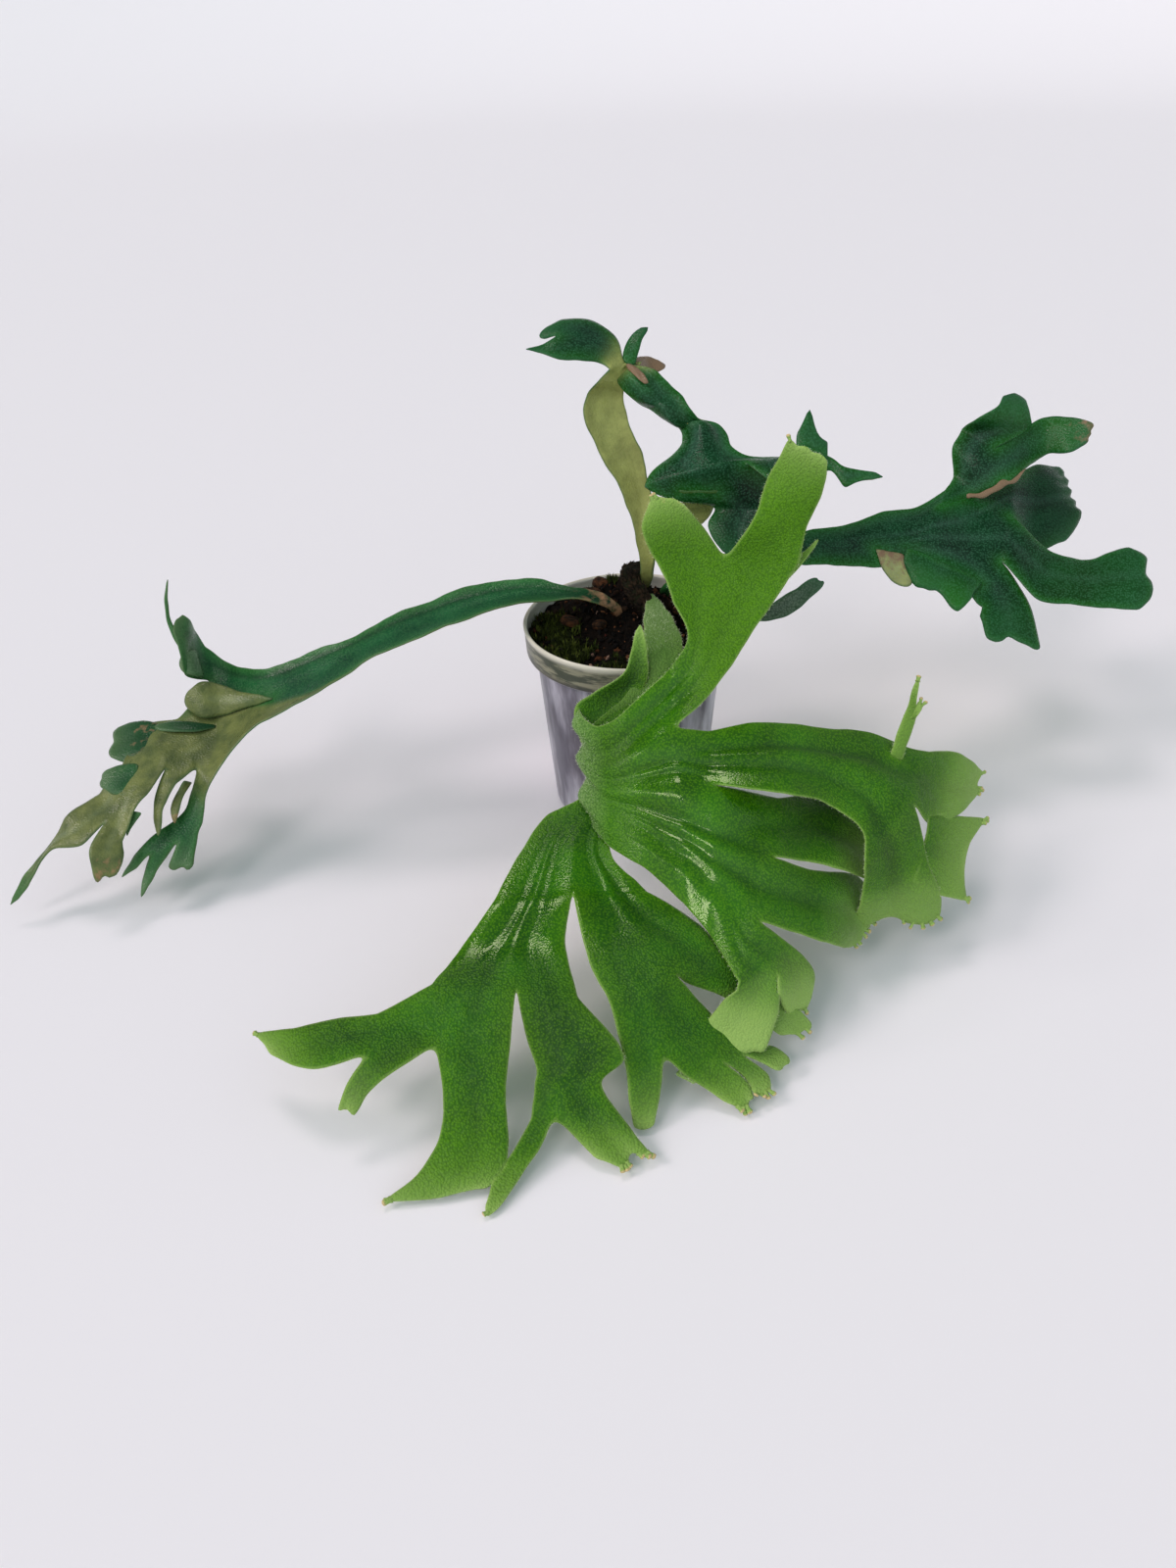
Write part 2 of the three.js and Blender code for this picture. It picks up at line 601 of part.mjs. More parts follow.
function rhizomeSolid(grow = 0) {
  const curve = new THREE.CatmullRomCurve3(RHIZOME_PATH.map((p) => new THREE.Vector3(...p)));
  const steps = RHIZOME_RADII.length * 2 - 2;
  const verts = [...curve.getPoint(0).toArray()];
  for (let k = 0; k <= steps; k += 1) {
    const at = curve.getPoint(k / steps);
    const onward = curve.getTangent(k / steps);
    const side = new THREE.Vector3().crossVectors(onward, new THREE.Vector3(0, 0, 1)).normalize();
    const up = new THREE.Vector3().crossVectors(side, onward);
    const whole = Math.floor(k / 2);
    const radius = k % 2 ? 0.52 * (RHIZOME_RADII[whole] + RHIZOME_RADII[whole + 1]) : RHIZOME_RADII[whole];
    for (let s = 0; s < RHIZOME_SIDES; s += 1) {
      const turn = (2 * Math.PI * s) / RHIZOME_SIDES;
      const r = radius * (1 + 0.08 * Math.sin(3 * turn + k)) + grow;
      const point = at.clone().addScaledVector(side, r * Math.cos(turn)).addScaledVector(up, r * Math.sin(turn));
      verts.push(...point.toArray());
    }
  }
  verts.push(...curve.getPoint(1).toArray());
  const tris = [];
  const end = (steps + 1) * RHIZOME_SIDES + 1;
  for (let s = 0; s < RHIZOME_SIDES; s += 1) {
    const next = (s + 1) % RHIZOME_SIDES;
    tris.push(0, 1 + s, 1 + next, end, end - RHIZOME_SIDES + next, end - RHIZOME_SIDES + s);
    for (let k = 0; k < steps; k += 1) {
      const low = 1 + k * RHIZOME_SIDES;
      const high = low + RHIZOME_SIDES;
      tris.push(low + s, high + next, low + next, low + s, high + s, high + next);
    }
  }
  return solid(verts, tris);
}

// Bark chunks bedded in the mound: [x, y, z, length, width, thickness, turn in degrees]
const BARK = [
  [-15, 15, 90.5, 13, 8, 6, 20],
  [-10, 23, 91.5, 9, 6, 5, -30],
  [-12, -3, 85.5, 7, 5, 4, 50],
  [-24, 2, 85, 9, 6, 4, -15],
  [22, 6, 86.5, 8, 6, 4, 70],
];

function barkSolid([x, y, z, length, width, thickness, turn], grow = 0) {
  const lump = new THREE.IcosahedronGeometry(0.5, 1);
  const place3 = lump.getAttribute('position');
  const verts = [];
  const corner = new THREE.Vector3();
  for (let i = 0; i < place3.count; i += 1) {
    corner.fromBufferAttribute(place3, i);
    const chip = 1 + 0.12 * Math.sin(9 * corner.x + x) * Math.cos(8 * corner.y + y) + 0.06 * Math.sin(12 * corner.z);
    corner.multiplyScalar(chip);
    verts.push(corner.x * (length + 2 * grow), corner.y * (width + 2 * grow), corner.z * (thickness + 2 * grow));
  }
  const tris = Array.from({ length: place3.count }, (_, i) => i);
  return solid(verts, tris).rotate([0, 12, turn]).translate([x, y, z]);
}

// Stems stand in plain holes a little wider than themselves
const FRONDS = {
  front_frond: [FAN_BELOW, FAN_TOP, FAN_EAR, FAN_STRAP, FAN_FINGER],
  left_frond: [LEFT_FROND],
  back_frond: [BACK_FROND, BACK_HORN, BACK_CURL, BACK_DISC],
  right_frond: [RIGHT_FROND, RIGHT_FLAP, RIGHT_CURL],
  small_frond: [SMALL_FROND],
};
const stems = Object.values(FRONDS).map(([main]) => leafSolid({ ...main, kids: null, end: FLAT_END,
  ribs: main.ribs.slice(0, 4) }, HOLE_GAP));

function holed(body, cutters) {
  return cutters.reduce((rest, cutter) => rest.subtract(cutter), body);
}

// Colours of the parts, then the group itself
const LOOKS = {
  pot: [0xc9c6ce, 0.35],
  soil: [0x2a211a, 0.95],
  rhizome: [0x5a4a2c, 0.85],
  bark: [0x4a3526, 0.9],
  front_frond: [0x4d8a2c, 0.6],
  left_frond: [0x355f37, 0.5],
  back_frond: [0x3c5f44, 0.5],
  right_frond: [0x2c5638, 0.5],
  small_frond: [0x4c5f50, 0.6],
};

function part(name, body, look) {
  const { vertProperties, triVerts } = body.getMesh();
  const shape = new THREE.BufferGeometry();
  shape.setAttribute('position', new THREE.BufferAttribute(vertProperties.slice(), 3));
  shape.setIndex(new THREE.BufferAttribute(triVerts.slice(), 1));
  shape.computeVertexNormals();
  const [color, roughness] = LOOKS[look];
  const mesh = new THREE.Mesh(shape, new THREE.MeshStandardMaterial({ color, roughness, metalness: 0 }));
  mesh.name = name;
  return mesh;
}

const fern = new THREE.Group();
fern.name = 'potted_crested_polypodium';
const rhizome = holed(rhizomeSolid(), stems);
const barkCutters = BARK.map((chunk) => barkSolid(chunk, GAP));
fern.add(part('pot', potSolid(), 'pot'));
fern.add(part('soil', holed(soilSolid(), [...stems, rhizomeSolid(GAP), ...barkCutters]), 'soil'));
fern.add(part('rhizome', rhizome, 'rhizome'));
BARK.forEach((chunk, i) => fern.add(part(`bark_chunk_${i + 1}`, barkSolid(chunk), 'bark')));
for (const [name, leaves] of Object.entries(FRONDS)) {
  fern.add(part(name, frondSolid(leaves), name));
}
export default fern;
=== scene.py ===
"""Potted crested polypodium fern: a young velvety green frond with a forked fan, four older blue-green
fronds, a creeping rhizome in mossy potting mix, and a small cloudy plastic pot. Lengths are worked out
in millimetres, with Z up and the origin under the middle of the pot, and put into the meshes in metres.
"""

import math

import bpy
import numpy as np
from mathutils import Matrix, Vector


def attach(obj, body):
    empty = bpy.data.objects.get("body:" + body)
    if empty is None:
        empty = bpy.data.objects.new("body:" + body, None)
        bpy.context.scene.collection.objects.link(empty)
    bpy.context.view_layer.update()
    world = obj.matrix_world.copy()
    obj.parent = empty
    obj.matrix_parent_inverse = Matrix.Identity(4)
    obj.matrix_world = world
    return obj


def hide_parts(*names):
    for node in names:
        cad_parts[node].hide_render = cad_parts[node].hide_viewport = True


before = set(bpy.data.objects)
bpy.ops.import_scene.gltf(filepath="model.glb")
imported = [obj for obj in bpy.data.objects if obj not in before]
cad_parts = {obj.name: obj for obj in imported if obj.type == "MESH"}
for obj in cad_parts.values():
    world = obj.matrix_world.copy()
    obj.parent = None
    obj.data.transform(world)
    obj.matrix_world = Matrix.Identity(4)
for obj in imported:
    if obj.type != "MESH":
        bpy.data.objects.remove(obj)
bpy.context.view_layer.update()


# Pot. Blow-thin nursery pot of cloudy polypropylene, moulded in one piece: a tapered tub with a stepped
# collar, a rolled lip and round drain holes in its base. The mix and the moss show through its wall.

POT_HEIGHT = 87.0
RIM_RADIUS = 44.0
COLLAR_RADIUS = 43.0
COLLAR_HEIGHT = 13.0
BODY_TOP_RADIUS = 39.0
BASE_RADIUS = 33.5
POT_WALL = 1.1
LIP_BEAD = 0.5
DRAIN_RADIUS = 3.0
DRAIN_CIRCLE = 22.0
DRAIN_COUNT = 6
POT_SIDES = 216
SHELF = POT_HEIGHT - COLLAR_HEIGHT


def filleted(corners, step):
    """Corners [radius, height, fillet] as a fine outline: straight runs cut to the step, and at each
    corner a quadratic curve that starts and ends one fillet away from it."""
    spots = np.array([c[:2] for c in corners], float)
    bends = [c[2] for c in corners]
    outline = [spots[0][None]]
    for i in range(1, len(spots)):
        ahead = spots[i] - spots[i - 1]
        reach = np.linalg.norm(ahead)
        leave = bends[i - 1] / reach
        arrive = 1 - bends[i] / reach
        count = max(1, int(np.ceil((arrive - leave) * reach / step)))
        outline.append(spots[i - 1] + ahead * np.linspace(leave, arrive, count + 1)[1:, None])
        if i + 1 < len(spots) and bends[i]:
            onward = spots[i + 1] - spots[i]
            first = spots[i] - ahead * bends[i] / reach
            second = spots[i] + onward * bends[i] / np.linalg.norm(onward)
            t = np.linspace(0, 1, 6)[1:, None]
            outline.append(first * (1 - t) ** 2 + spots[i] * 2 * t * (1 - t) + second * t**2)
    return np.concatenate(outline)


def turned(outline, sides):
    """An outline [radius, height] that starts on the axis, carried once round it. Returns the points,
    ring by ring, and the faces: quads between rings and triangles at each end that lies on the axis."""
    turn = np.arange(sides) * 2 * np.pi / sides
    closed = outline[-1][0] < 1e-6
    rings = outline[1:-1] if closed else outline[1:]
    x = rings[:, :1] * np.cos(turn)
    y = rings[:, :1] * np.sin(turn)
    z = np.repeat(rings[:, 1:], sides, axis=1)
    points = np.stack([x, y, z], axis=-1).reshape(-1, 3)
    ids = np.arange(len(points)).reshape(len(rings), sides)
    after = np.roll(ids, -1, axis=1)
    quads = np.stack([ids[:-1], after[:-1], after[1:], ids[1:]], axis=-1).reshape(-1, 4)
    points = np.concatenate([points, [[0, 0, outline[0][1]]]])
    fans = [np.stack([np.full(sides, len(points) - 1), after[0], ids[0]], axis=-1)]
    if closed:
        points = np.concatenate([points, [[0, 0, outline[-1][1]]]])
        fans.append(np.stack([np.full(sides, len(points) - 1), ids[-1], after[-1]], axis=-1))
    return points, [quads, np.concatenate(fans)]


def edges_of(face_sets):
    """All face edges as [from, to], in the direction that their faces run, and which are on a margin,
    where only one face has that edge."""
    runs = [np.stack([f, np.roll(f, -1, axis=1)], axis=-1).reshape(-1, 2) for f in face_sets]
    edges = np.concatenate(runs)
    keys = np.sort(edges, axis=1) @ np.array([1 << 32, 1])
    _, back, count = np.unique(keys, return_inverse=True, return_counts=True)
    return edges, count[back] == 1


def normals_of(points, face_sets):
    """Unit normal at each point: the sum of the area vectors of its faces, brought to length 1."""
    total = np.zeros_like(points)
    for faces in face_sets:
        corner = points[faces]
        area = np.cross(corner[:, 2] - corner[:, 0], corner[:, -1] - corner[:, 1])
        if faces.shape[1] == 3:
            area = np.cross(corner[:, 1] - corner[:, 0], corner[:, 2] - corner[:, 0])
        for k in range(faces.shape[1]):
            for axis in range(3):
                total[:, axis] += np.bincount(faces[:, k], area[:, axis], len(points))
    return total / np.maximum(np.linalg.norm(total, axis=1, keepdims=True), 1e-9)


def margin_distance(points, rim_ids):
    """Distance of each point from the nearest point of the margin, worked out in blocks."""
    rim = points[rim_ids].astype(np.float32)
    far = np.empty(len(points), np.float32)
    block = max(1, 6_000_000 // max(1, len(rim)))
    for low in range(0, len(points), block):
        part = points[low:low + block].astype(np.float32)
        squares = (part**2).sum(1)[:, None] + (rim**2).sum(1) - 2 * part @ rim.T
        far[low:low + block] = np.sqrt(np.maximum(squares.min(1), 0))
    return far


def thickened(points, face_sets, thick, blunt=0.12):
    """A sheet given its thickness: each point goes half of it up and half down along its normal. Near
    the margin the half falls off as a quarter ellipse, and a narrow wall joins both faces there."""
    normal = normals_of(points, face_sets)
    edges, lone = edges_of(face_sets)
    rim = edges[lone]
    inside = margin_distance(points, np.unique(rim))
    turn = np.maximum(0.6, 0.5 * thick)
    half = 0.5 * thick * np.sqrt(np.maximum(1 - (1 - np.minimum(inside / turn, 1)) ** 2, 0))
    shift = normal * np.maximum(half, blunt)[:, None]
    under = len(points)
    wall = np.stack([rim[:, 1], rim[:, 0], under + rim[:, 0], under + rim[:, 1]], axis=-1)
    both = [np.concatenate([f, under + f[:, ::-1]]) for f in face_sets]
    return np.concatenate([points + shift, points - shift]), both + [wall], inside


def piece(name, points, face_sets, finish, slot, nodes=(), smooth=True, **marks):
    """Puts one finished piece together from points in millimetres and rows of corner numbers. Marks
    are its colour attributes: an array [points, 4] for each name."""
    mesh = bpy.data.meshes.new(name)
    sizes = np.concatenate([np.full(len(f), f.shape[1]) for f in face_sets])
    corners = np.concatenate([f.ravel() for f in face_sets]).astype(np.int32)
    mesh.vertices.add(len(points))
    mesh.vertices.foreach_set("co", (points * 0.001).astype(np.float32).ravel())
    mesh.loops.add(len(corners))
    mesh.polygons.add(len(sizes))
    mesh.polygons.foreach_set("loop_start", (np.cumsum(sizes) - sizes).astype(np.int32))
    mesh.polygons.foreach_set("vertices", corners)
    mesh.polygons.foreach_set("use_smooth", np.full(len(sizes), smooth))
    mesh.update(calc_edges=True)
    for mark, values in marks.items():
        layer = mesh.color_attributes.new(name=mark, type="FLOAT_COLOR", domain="POINT")
        layer.data.foreach_set("color", values.astype(np.float32).ravel())
    mesh.materials.append(finish)
    made = bpy.data.objects.new(name, mesh)
    bpy.context.scene.collection.objects.link(made)
    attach(made, "root")
    if nodes:
        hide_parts(*nodes)


def paint(code):
    """A screen colour written as six hex digits, as the linear colour that a shader takes."""
    share = np.array([int(code[i:i + 2], 16) for i in (0, 2, 4)]) / 255
    linear = np.where(share <= 0.04045, share / 12.92, ((share + 0.055) / 1.055) ** 2.4)
    return (*linear.tolist(), 1.0)


def node(tree, kind, feeds=None, **settings):
    """Adds a shader node with its settings. A feed that is a socket is linked, any other is set."""
    made = tree.nodes.new("ShaderNode" + kind)
    for key, value in settings.items():
        setattr(made, key, value)
    for key, value in (feeds or {}).items():
        if isinstance(value, bpy.types.NodeSocket):
            tree.links.new(value, made.inputs[key])
        else:
            made.inputs[key].default_value = value
    return made


def finish_of(name, **uniform):
    """A material with an empty tree but for its shader, whose uniform values sit on its own sockets."""
    made = bpy.data.materials.new(name)
    made.use_nodes = True
    tree = made.node_tree
    tree.nodes.clear()
    shader = tree.nodes.new("ShaderNodeBsdfPrincipled")
    for key, value in uniform.items():
        shader.inputs[key.replace("_", " ")].default_value = value
    out = tree.nodes.new("ShaderNodeOutputMaterial")
    tree.links.new(shader.outputs["BSDF"], out.inputs["Surface"])
    return made, tree, shader


def blend(tree, share, low, high):
    """The colour low where share is 0 and high where it is 1."""
    made = node(tree, "Mix", data_type="RGBA", clamp_factor=True)
    for place, value in ((0, share), (6, low), (7, high)):
        if isinstance(value, bpy.types.NodeSocket):
            tree.links.new(value, made.inputs[place])
        else:
            made.inputs[place].default_value = value
    return made.outputs[2]


def ramp(tree, value, low, high, to_low=0.0, to_high=1.0):
    """Value carried from the range low..high to the range to_low..to_high, and held inside it."""
    feeds = {"Value": value, "From Min": low, "From Max": high, "To Min": to_low, "To Max": to_high}
    return node(tree, "MapRange", feeds).outputs["Result"]


def stretched(tree, scale):
    """Object coordinates, in metres, with each axis multiplied by its scale."""
    spot = node(tree, "TexCoord").outputs["Object"]
    return node(tree, "Mapping", {"Vector": spot, "Scale": scale}).outputs["Vector"]


def noise(tree, spot, scale, detail=3.0, roughness=0.55):
    """Soft random values round one half, at the coordinates in spot, with so many bumps to a metre."""
    feeds = {"Vector": spot, "Scale": scale, "Detail": detail, "Roughness": roughness}
    return node(tree, "TexNoise", feeds).outputs["Fac"]


def cloudy_plastic():
    """Milky lilac grey with soft upright streaks, dark patches where wet mix lies against the wall, a painted
    highlight as a pale band on the body just under the shelf, and a beige collar with level grey-green
    streaks above a dark line, nearly white inside."""
    made, tree, shader = finish_of("cloudy_plastic", Roughness=0.3, IOR=1.49)
    spot = stretched(tree, (1, 1, 1))
    height = node(tree, "SeparateXYZ", {"Vector": spot}).outputs["Z"]
    upright = noise(tree, stretched(tree, (1, 1, 0.16)), 95, 4)
    patches = noise(tree, stretched(tree, (1, 1, 0.4)), 60, 4)
    level = noise(tree, stretched(tree, (0.3, 0.3, 1.8)), 170, 5, 0.65)
    body = blend(tree, ramp(tree, upright, 0.36, 0.62), paint("6a6773"), paint("c2bfca"))
    body = blend(tree, ramp(tree, patches, 0.5, 0.7, 0, 0.8), body, paint("3a313e"))
    collar = blend(tree, ramp(tree, level, 0.46, 0.56), paint("86846f"), paint("434839"))
    collar = blend(tree, ramp(tree, height, 0.0835, 0.0855), collar, paint("c9c5b6"))
    flat = node(tree, "VectorMath", {0: spot, 1: (1, 1, 0)}, operation="MULTIPLY").outputs["Vector"]
    radius = node(tree, "VectorMath", {0: flat}, operation="LENGTH").outputs["Value"]
    inner = (COLLAR_RADIUS - 0.4) * 0.001
    collar = blend(tree, ramp(tree, radius, inner, inner - 0.0004), collar, paint("e2e0d8"))
    # A pale band on the body just under the shelf is a painted highlight of the shoulder step
    shoulder_highlight = blend(tree, ramp(tree, height, SHELF * 0.001 - 0.002, SHELF * 0.001), body, paint("b5b2ba"))
    line = blend(tree, ramp(tree, height, SHELF * 0.001 + 0.0008, SHELF * 0.001 + 0.0032),
                 paint("3c3a36"), collar)
    whole = blend(tree, ramp(tree, height, SHELF * 0.001 + 0.0002, SHELF * 0.001 + 0.0008), shoulder_highlight, line)
    tree.links.new(whole, shader.inputs["Base Color"])
    scuffs = node(tree, "Bump", {"Height": upright, "Strength": 0.25, "Distance": 0.0006})
    tree.links.new(scuffs.outputs["Normal"], shader.inputs["Normal"])
    return made


def drained(points, face_sets):
    """Opens the drain holes in the base: faces whose middle lies in a hole go, and the points round it
    move to its circle."""
    turn = (np.arange(DRAIN_COUNT) + 0.5) * 2 * np.pi / DRAIN_COUNT
    holes = DRAIN_CIRCLE * np.stack([np.cos(turn), np.sin(turn)], axis=-1)
    low = points[:, 2] < POT_WALL
    kept = []
    for faces in face_sets:
        middle = points[faces].mean(axis=1)
        near = np.linalg.norm(middle[:, None, :2] - holes, axis=-1).min(axis=1)
        kept.append(faces[~((near < DRAIN_RADIUS) & low[faces].all(axis=1))])
    edges, lone = edges_of(kept)
    rim = np.unique(edges[lone])
    rim = rim[low[rim]]
    away = points[rim][:, None, :2] - holes
    far = np.linalg.norm(away, axis=-1)
    which = far.argmin(axis=1)
    row = np.arange(len(rim))
    points[rim, :2] = holes[which] + away[row, which] * (DRAIN_RADIUS / far[row, which])[:, None]
    used, renamed = np.unique(np.concatenate([f.ravel() for f in kept]), return_inverse=True)
    cuts = np.cumsum([f.size for f in kept])[:-1]
    return points[used], [f.reshape(-1, k.shape[1]) for f, k in zip(np.split(renamed, cuts), kept)]


half_wall = POT_WALL / 2
pot_outline = filleted([
    [0, half_wall, 0],
    [BASE_RADIUS - half_wall, half_wall, 1.6],
    [BODY_TOP_RADIUS - half_wall, SHELF - 1.2, 1.4],
    [BODY_TOP_RADIUS + 0.3, SHELF, 1.0],
    [COLLAR_RADIUS - half_wall, SHELF + half_wall, 1.0],
    [RIM_RADIUS - LIP_BEAD - half_wall, POT_HEIGHT - 2.2, 0.8],
    [RIM_RADIUS - half_wall - 0.3, POT_HEIGHT - 0.2, 0],
], 0.7)
pot_points, pot_faces = drained(*turned(pot_outline, POT_SIDES))
bead = np.clip((pot_points[:, 2] - POT_HEIGHT + 2.4) / 1.2, 0, 1)
pot_points, pot_faces, _ = thickened(pot_points, pot_faces, POT_WALL + LIP_BEAD * bead, 0.2)
piece("pot_shell", pot_points, pot_faces, cloudy_plastic(), "pot", ["pot"])


# Potting mix. Dark fibrous mix of peat, bark fines and old roots, pressed into the tub a little below its
# lip and heaped at the crown. Crumbs, wood chips and reddish husks lie loose on it.

GAP = 0.3
SOIL_LEVEL = 80.0
MOUND_HEIGHT = 11.0
MOUND_CENTRE = (0.0, 14.0)
MOUND_SPREAD = (24.0, 17.0)
HEAP_HEIGHT = 4.5
HEAP_CENTRE = (-6.0, 21.0)
HEAP_SPREAD = (11.0, 6.0)
SOIL_WALL = POT_WALL + GAP
SOIL_RIM = COLLAR_RADIUS - SOIL_WALL
SOIL_RINGS = 68
SOIL_SIDES = 220
LATTICE = 96
chance = np.random.default_rng(11)
lattice = chance.random((LATTICE, LATTICE))


def lumps(x, y, cell):
    """Smooth random relief from 0 to 1: values on a square lattice of that cell, joined across each
    square by a smooth step both ways."""
    u = x / cell + 40
    v = y / cell + 40
    i = np.floor(u).astype(int)
    j = np.floor(v).astype(int)
    s = u - i
    t = v - j
    s = s * s * (3 - 2 * s)
    t = t * t * (3 - 2 * t)
    corner = [[lattice[(i + a) % LATTICE, (j + b) % LATTICE] for b in (0, 1)] for a in (0, 1)]
    return ((corner[0][0] * (1 - s) + corner[1][0] * s) * (1 - t)
            + (corner[0][1] * (1 - s) + corner[1][1] * s) * t)


def soil_rise(x, y):
    """Height of the mix above its level at the wall: a mound at the crown with a heap of crumbs on its
    far side, both as bells, slow waves and clods."""

    def bell(height, centre, spread):
        """Height times e to the minus squared distance from the centre, counted in spreads."""
        return height * np.exp(-(((x - centre[0]) / spread[0]) ** 2) - ((y - centre[1]) / spread[1]) ** 2)

    mound = bell(MOUND_HEIGHT, MOUND_CENTRE, MOUND_SPREAD) + bell(HEAP_HEIGHT, HEAP_CENTRE, HEAP_SPREAD)
    waves = 0.7 * np.sin(0.42 * x + 1) * np.cos(0.37 * y) + 0.4 * np.sin(0.8 * y + 0.5 * x)
    clods = 2.2 * (lumps(x, y, 5.2) - 0.5) + 1.3 * (lumps(x, y, 2.3) - 0.5) + 0.6 * (lumps(y, x, 1.1) - 0.5)
    return mound + waves + clods


def earthy(name, dullness, shine, tones, patches, spread, grain, flecks, relief, fibres=(1, 1, 1)):
    """A dull finish of three tones: broad patches of the second over the first, and flecks of the third
    where the fine grain is high, which also stands up as a bump. Patches and grain are noises as (scale,
    detail, roughness), spread and flecks are the ranges that turn them into shares, relief is the
    bump's (strength, depth), and fibres stretches the grain."""
    made, tree, shader = finish_of(name, Roughness=dullness, Specular_IOR_Level=shine)
    broad = noise(tree, stretched(tree, (1, 1, 1)), *patches)
    fine = noise(tree, stretched(tree, fibres), *grain)
    colour = blend(tree, ramp(tree, broad, *spread), paint(tones[0]), paint(tones[1]))
    colour = blend(tree, ramp(tree, fine, *flecks), colour, paint(tones[2]))
    tree.links.new(colour, shader.inputs["Base Color"])
    rough = node(tree, "Bump", {"Height": fine, "Strength": relief[0], "Distance": relief[1]})
    tree.links.new(rough.outputs["Normal"], shader.inputs["Normal"])
    return made


soil_outline = np.concatenate([
    filleted([[0, SOIL_WALL, 0], [BASE_RADIUS - SOIL_WALL, SOIL_WALL, 1.7],
              [BODY_TOP_RADIUS - SOIL_WALL, SHELF - 2.5, 0.6],
              [BODY_TOP_RADIUS - SOIL_WALL + 0.4, SHELF + 0.9, 0.6],
              [SOIL_RIM, SHELF + 2.4, 0]], 3.0),
    np.stack([np.linspace(SOIL_RIM, 0, SOIL_RINGS), np.full(SOIL_RINGS, SOIL_LEVEL)], axis=-1),
])
soil_points, soil_faces = turned(soil_outline, SOIL_SIDES)
top = soil_points[:, 2] == SOIL_LEVEL
soil_points[top, 2] += soil_rise(soil_points[top, 0], soil_points[top, 1])
potting_mix = earthy("potting_mix", 0.95, 0.15, ["050403", "160f0a", "3c2b1f"], (140, 3), (0.4, 0.62),
                     (900, 4, 0.7), (0.55, 0.72, 0, 0.8), (0.8, 0.0012))
piece("soil_mix", soil_points, soil_faces, potting_mix, "soil", ["soil"])


CRUMBS = 1500
CRUMB_TINTS = ["0b0806", "130d09", "1e140d", "2d1e12", "57341c", "7c5236", "4a2018", "a08272"]
CRUMB_SHARES = [0.26, 0.24, 0.18, 0.13, 0.07, 0.05, 0.04, 0.03]


def tumbled(count):
    """Random turns, as rotation matrices, from random unit quaternions."""
    w, x, y, z = (q := chance.normal(size=(count, 4))).T / np.linalg.norm(q, axis=1)
    return np.stack([
        1 - 2 * (y * y + z * z), 2 * (x * y - w * z), 2 * (x * z + w * y),
        2 * (x * y + w * z), 1 - 2 * (x * x + z * z), 2 * (y * z - w * x),
        2 * (x * z - w * y), 2 * (y * z + w * x), 1 - 2 * (x * x + y * y),
    ], axis=-1).reshape(-1, 3, 3)


def placed_copies(template, faces, turns, spots):
    """One small shape put down many times: each copy has its own 3 x 3 turn and its own spot."""
    points = np.einsum("nij,kj->nki", turns, template) + spots[:, None]
    step = np.arange(len(spots))[:, None, None] * len(template)
    return points.reshape(-1, 3), (faces[None] + step).reshape(-1, faces.shape[1])


GOLD = (1 + 5**0.5) / 2
LUMP = np.array([[-1, GOLD, 0], [1, GOLD, 0], [-1, -GOLD, 0], [1, -GOLD, 0], [0, -1, GOLD], [0, 1, GOLD],
                 [0, -1, -GOLD], [0, 1, -GOLD], [GOLD, 0, -1], [GOLD, 0, 1], [-GOLD, 0, -1], [-GOLD, 0, 1]])
LUMP = LUMP / np.linalg.norm(LUMP[0])
LUMP_FACES = np.array([[0, 11, 5], [0, 5, 1], [0, 1, 7], [0, 7, 10], [0, 10, 11], [1, 5, 9], [5, 11, 4],
                       [11, 10, 2], [10, 7, 6], [7, 1, 8], [3, 9, 4], [3, 4, 2], [3, 2, 6], [3, 6, 8],
                       [3, 8, 9],
                       [4, 9, 5], [2, 4, 11], [6, 2, 10], [8, 6, 7], [9, 8, 1]])


def tinted(name, roughness, deep=0.5):
    """A dull material whose colour is the mark 'tint' of the piece, darkened here and there."""
    made, tree, shader = finish_of(name, Roughness=roughness, Specular_IOR_Level=0.2)
    tint = node(tree, "Attribute", attribute_name="tint").outputs["Color"]
    grain = noise(tree, stretched(tree, (1, 1, 1)), 1400, 3, 0.7)
    dark = node(tree, "Mix", {"Factor": 1.0}, data_type="RGBA", blend_type="MULTIPLY")
    shade = ramp(tree, grain, 0.35, 0.65, deep, 1.0)
    tree.links.new(tint, dark.inputs[6])
    tree.links.new(shade, dark.inputs[7])
    tree.links.new(dark.outputs[2], shader.inputs["Base Color"])
    rough = node(tree, "Bump", {"Height": grain, "Strength": 0.6, "Distance": 0.0005})
    tree.links.new(rough.outputs["Normal"], shader.inputs["Normal"])
    return made


far_out = SOIL_RIM * 0.98 * np.sqrt(chance.random(CRUMBS))
bearing = chance.random(CRUMBS) * 2 * np.pi
crumb_x = far_out * np.cos(bearing)
crumb_y = far_out * np.sin(bearing)
crumb_size = 0.45 + 1.25 * chance.random(CRUMBS) ** 3
crumb_form = crumb_size[:, None] * (0.5 + chance.random((CRUMBS, 3)) * [1.3, 0.5, 0.3])
crumb_turns = tumbled(CRUMBS) * crumb_form[:, None, :]
crumb_spots = np.stack([crumb_x, crumb_y, SOIL_LEVEL + soil_rise(crumb_x, crumb_y) + 0.3 * crumb_size],
                       axis=-1)
crumb_points, crumb_faces = placed_copies(LUMP, LUMP_FACES, crumb_turns, crumb_spots)
crumb_points += 0.12 * (chance.random(crumb_points.shape) - 0.5)
crumb_kind = chance.choice(len(CRUMB_TINTS), CRUMBS, p=CRUMB_SHARES)
crumb_tint = np.array([paint(code) for code in CRUMB_TINTS])[crumb_kind]
piece("soil_crumbs", crumb_points, [crumb_faces], tinted("crumb", 0.9), "soil", smooth=False,
      tint=np.repeat(crumb_tint, len(LUMP), axis=0))


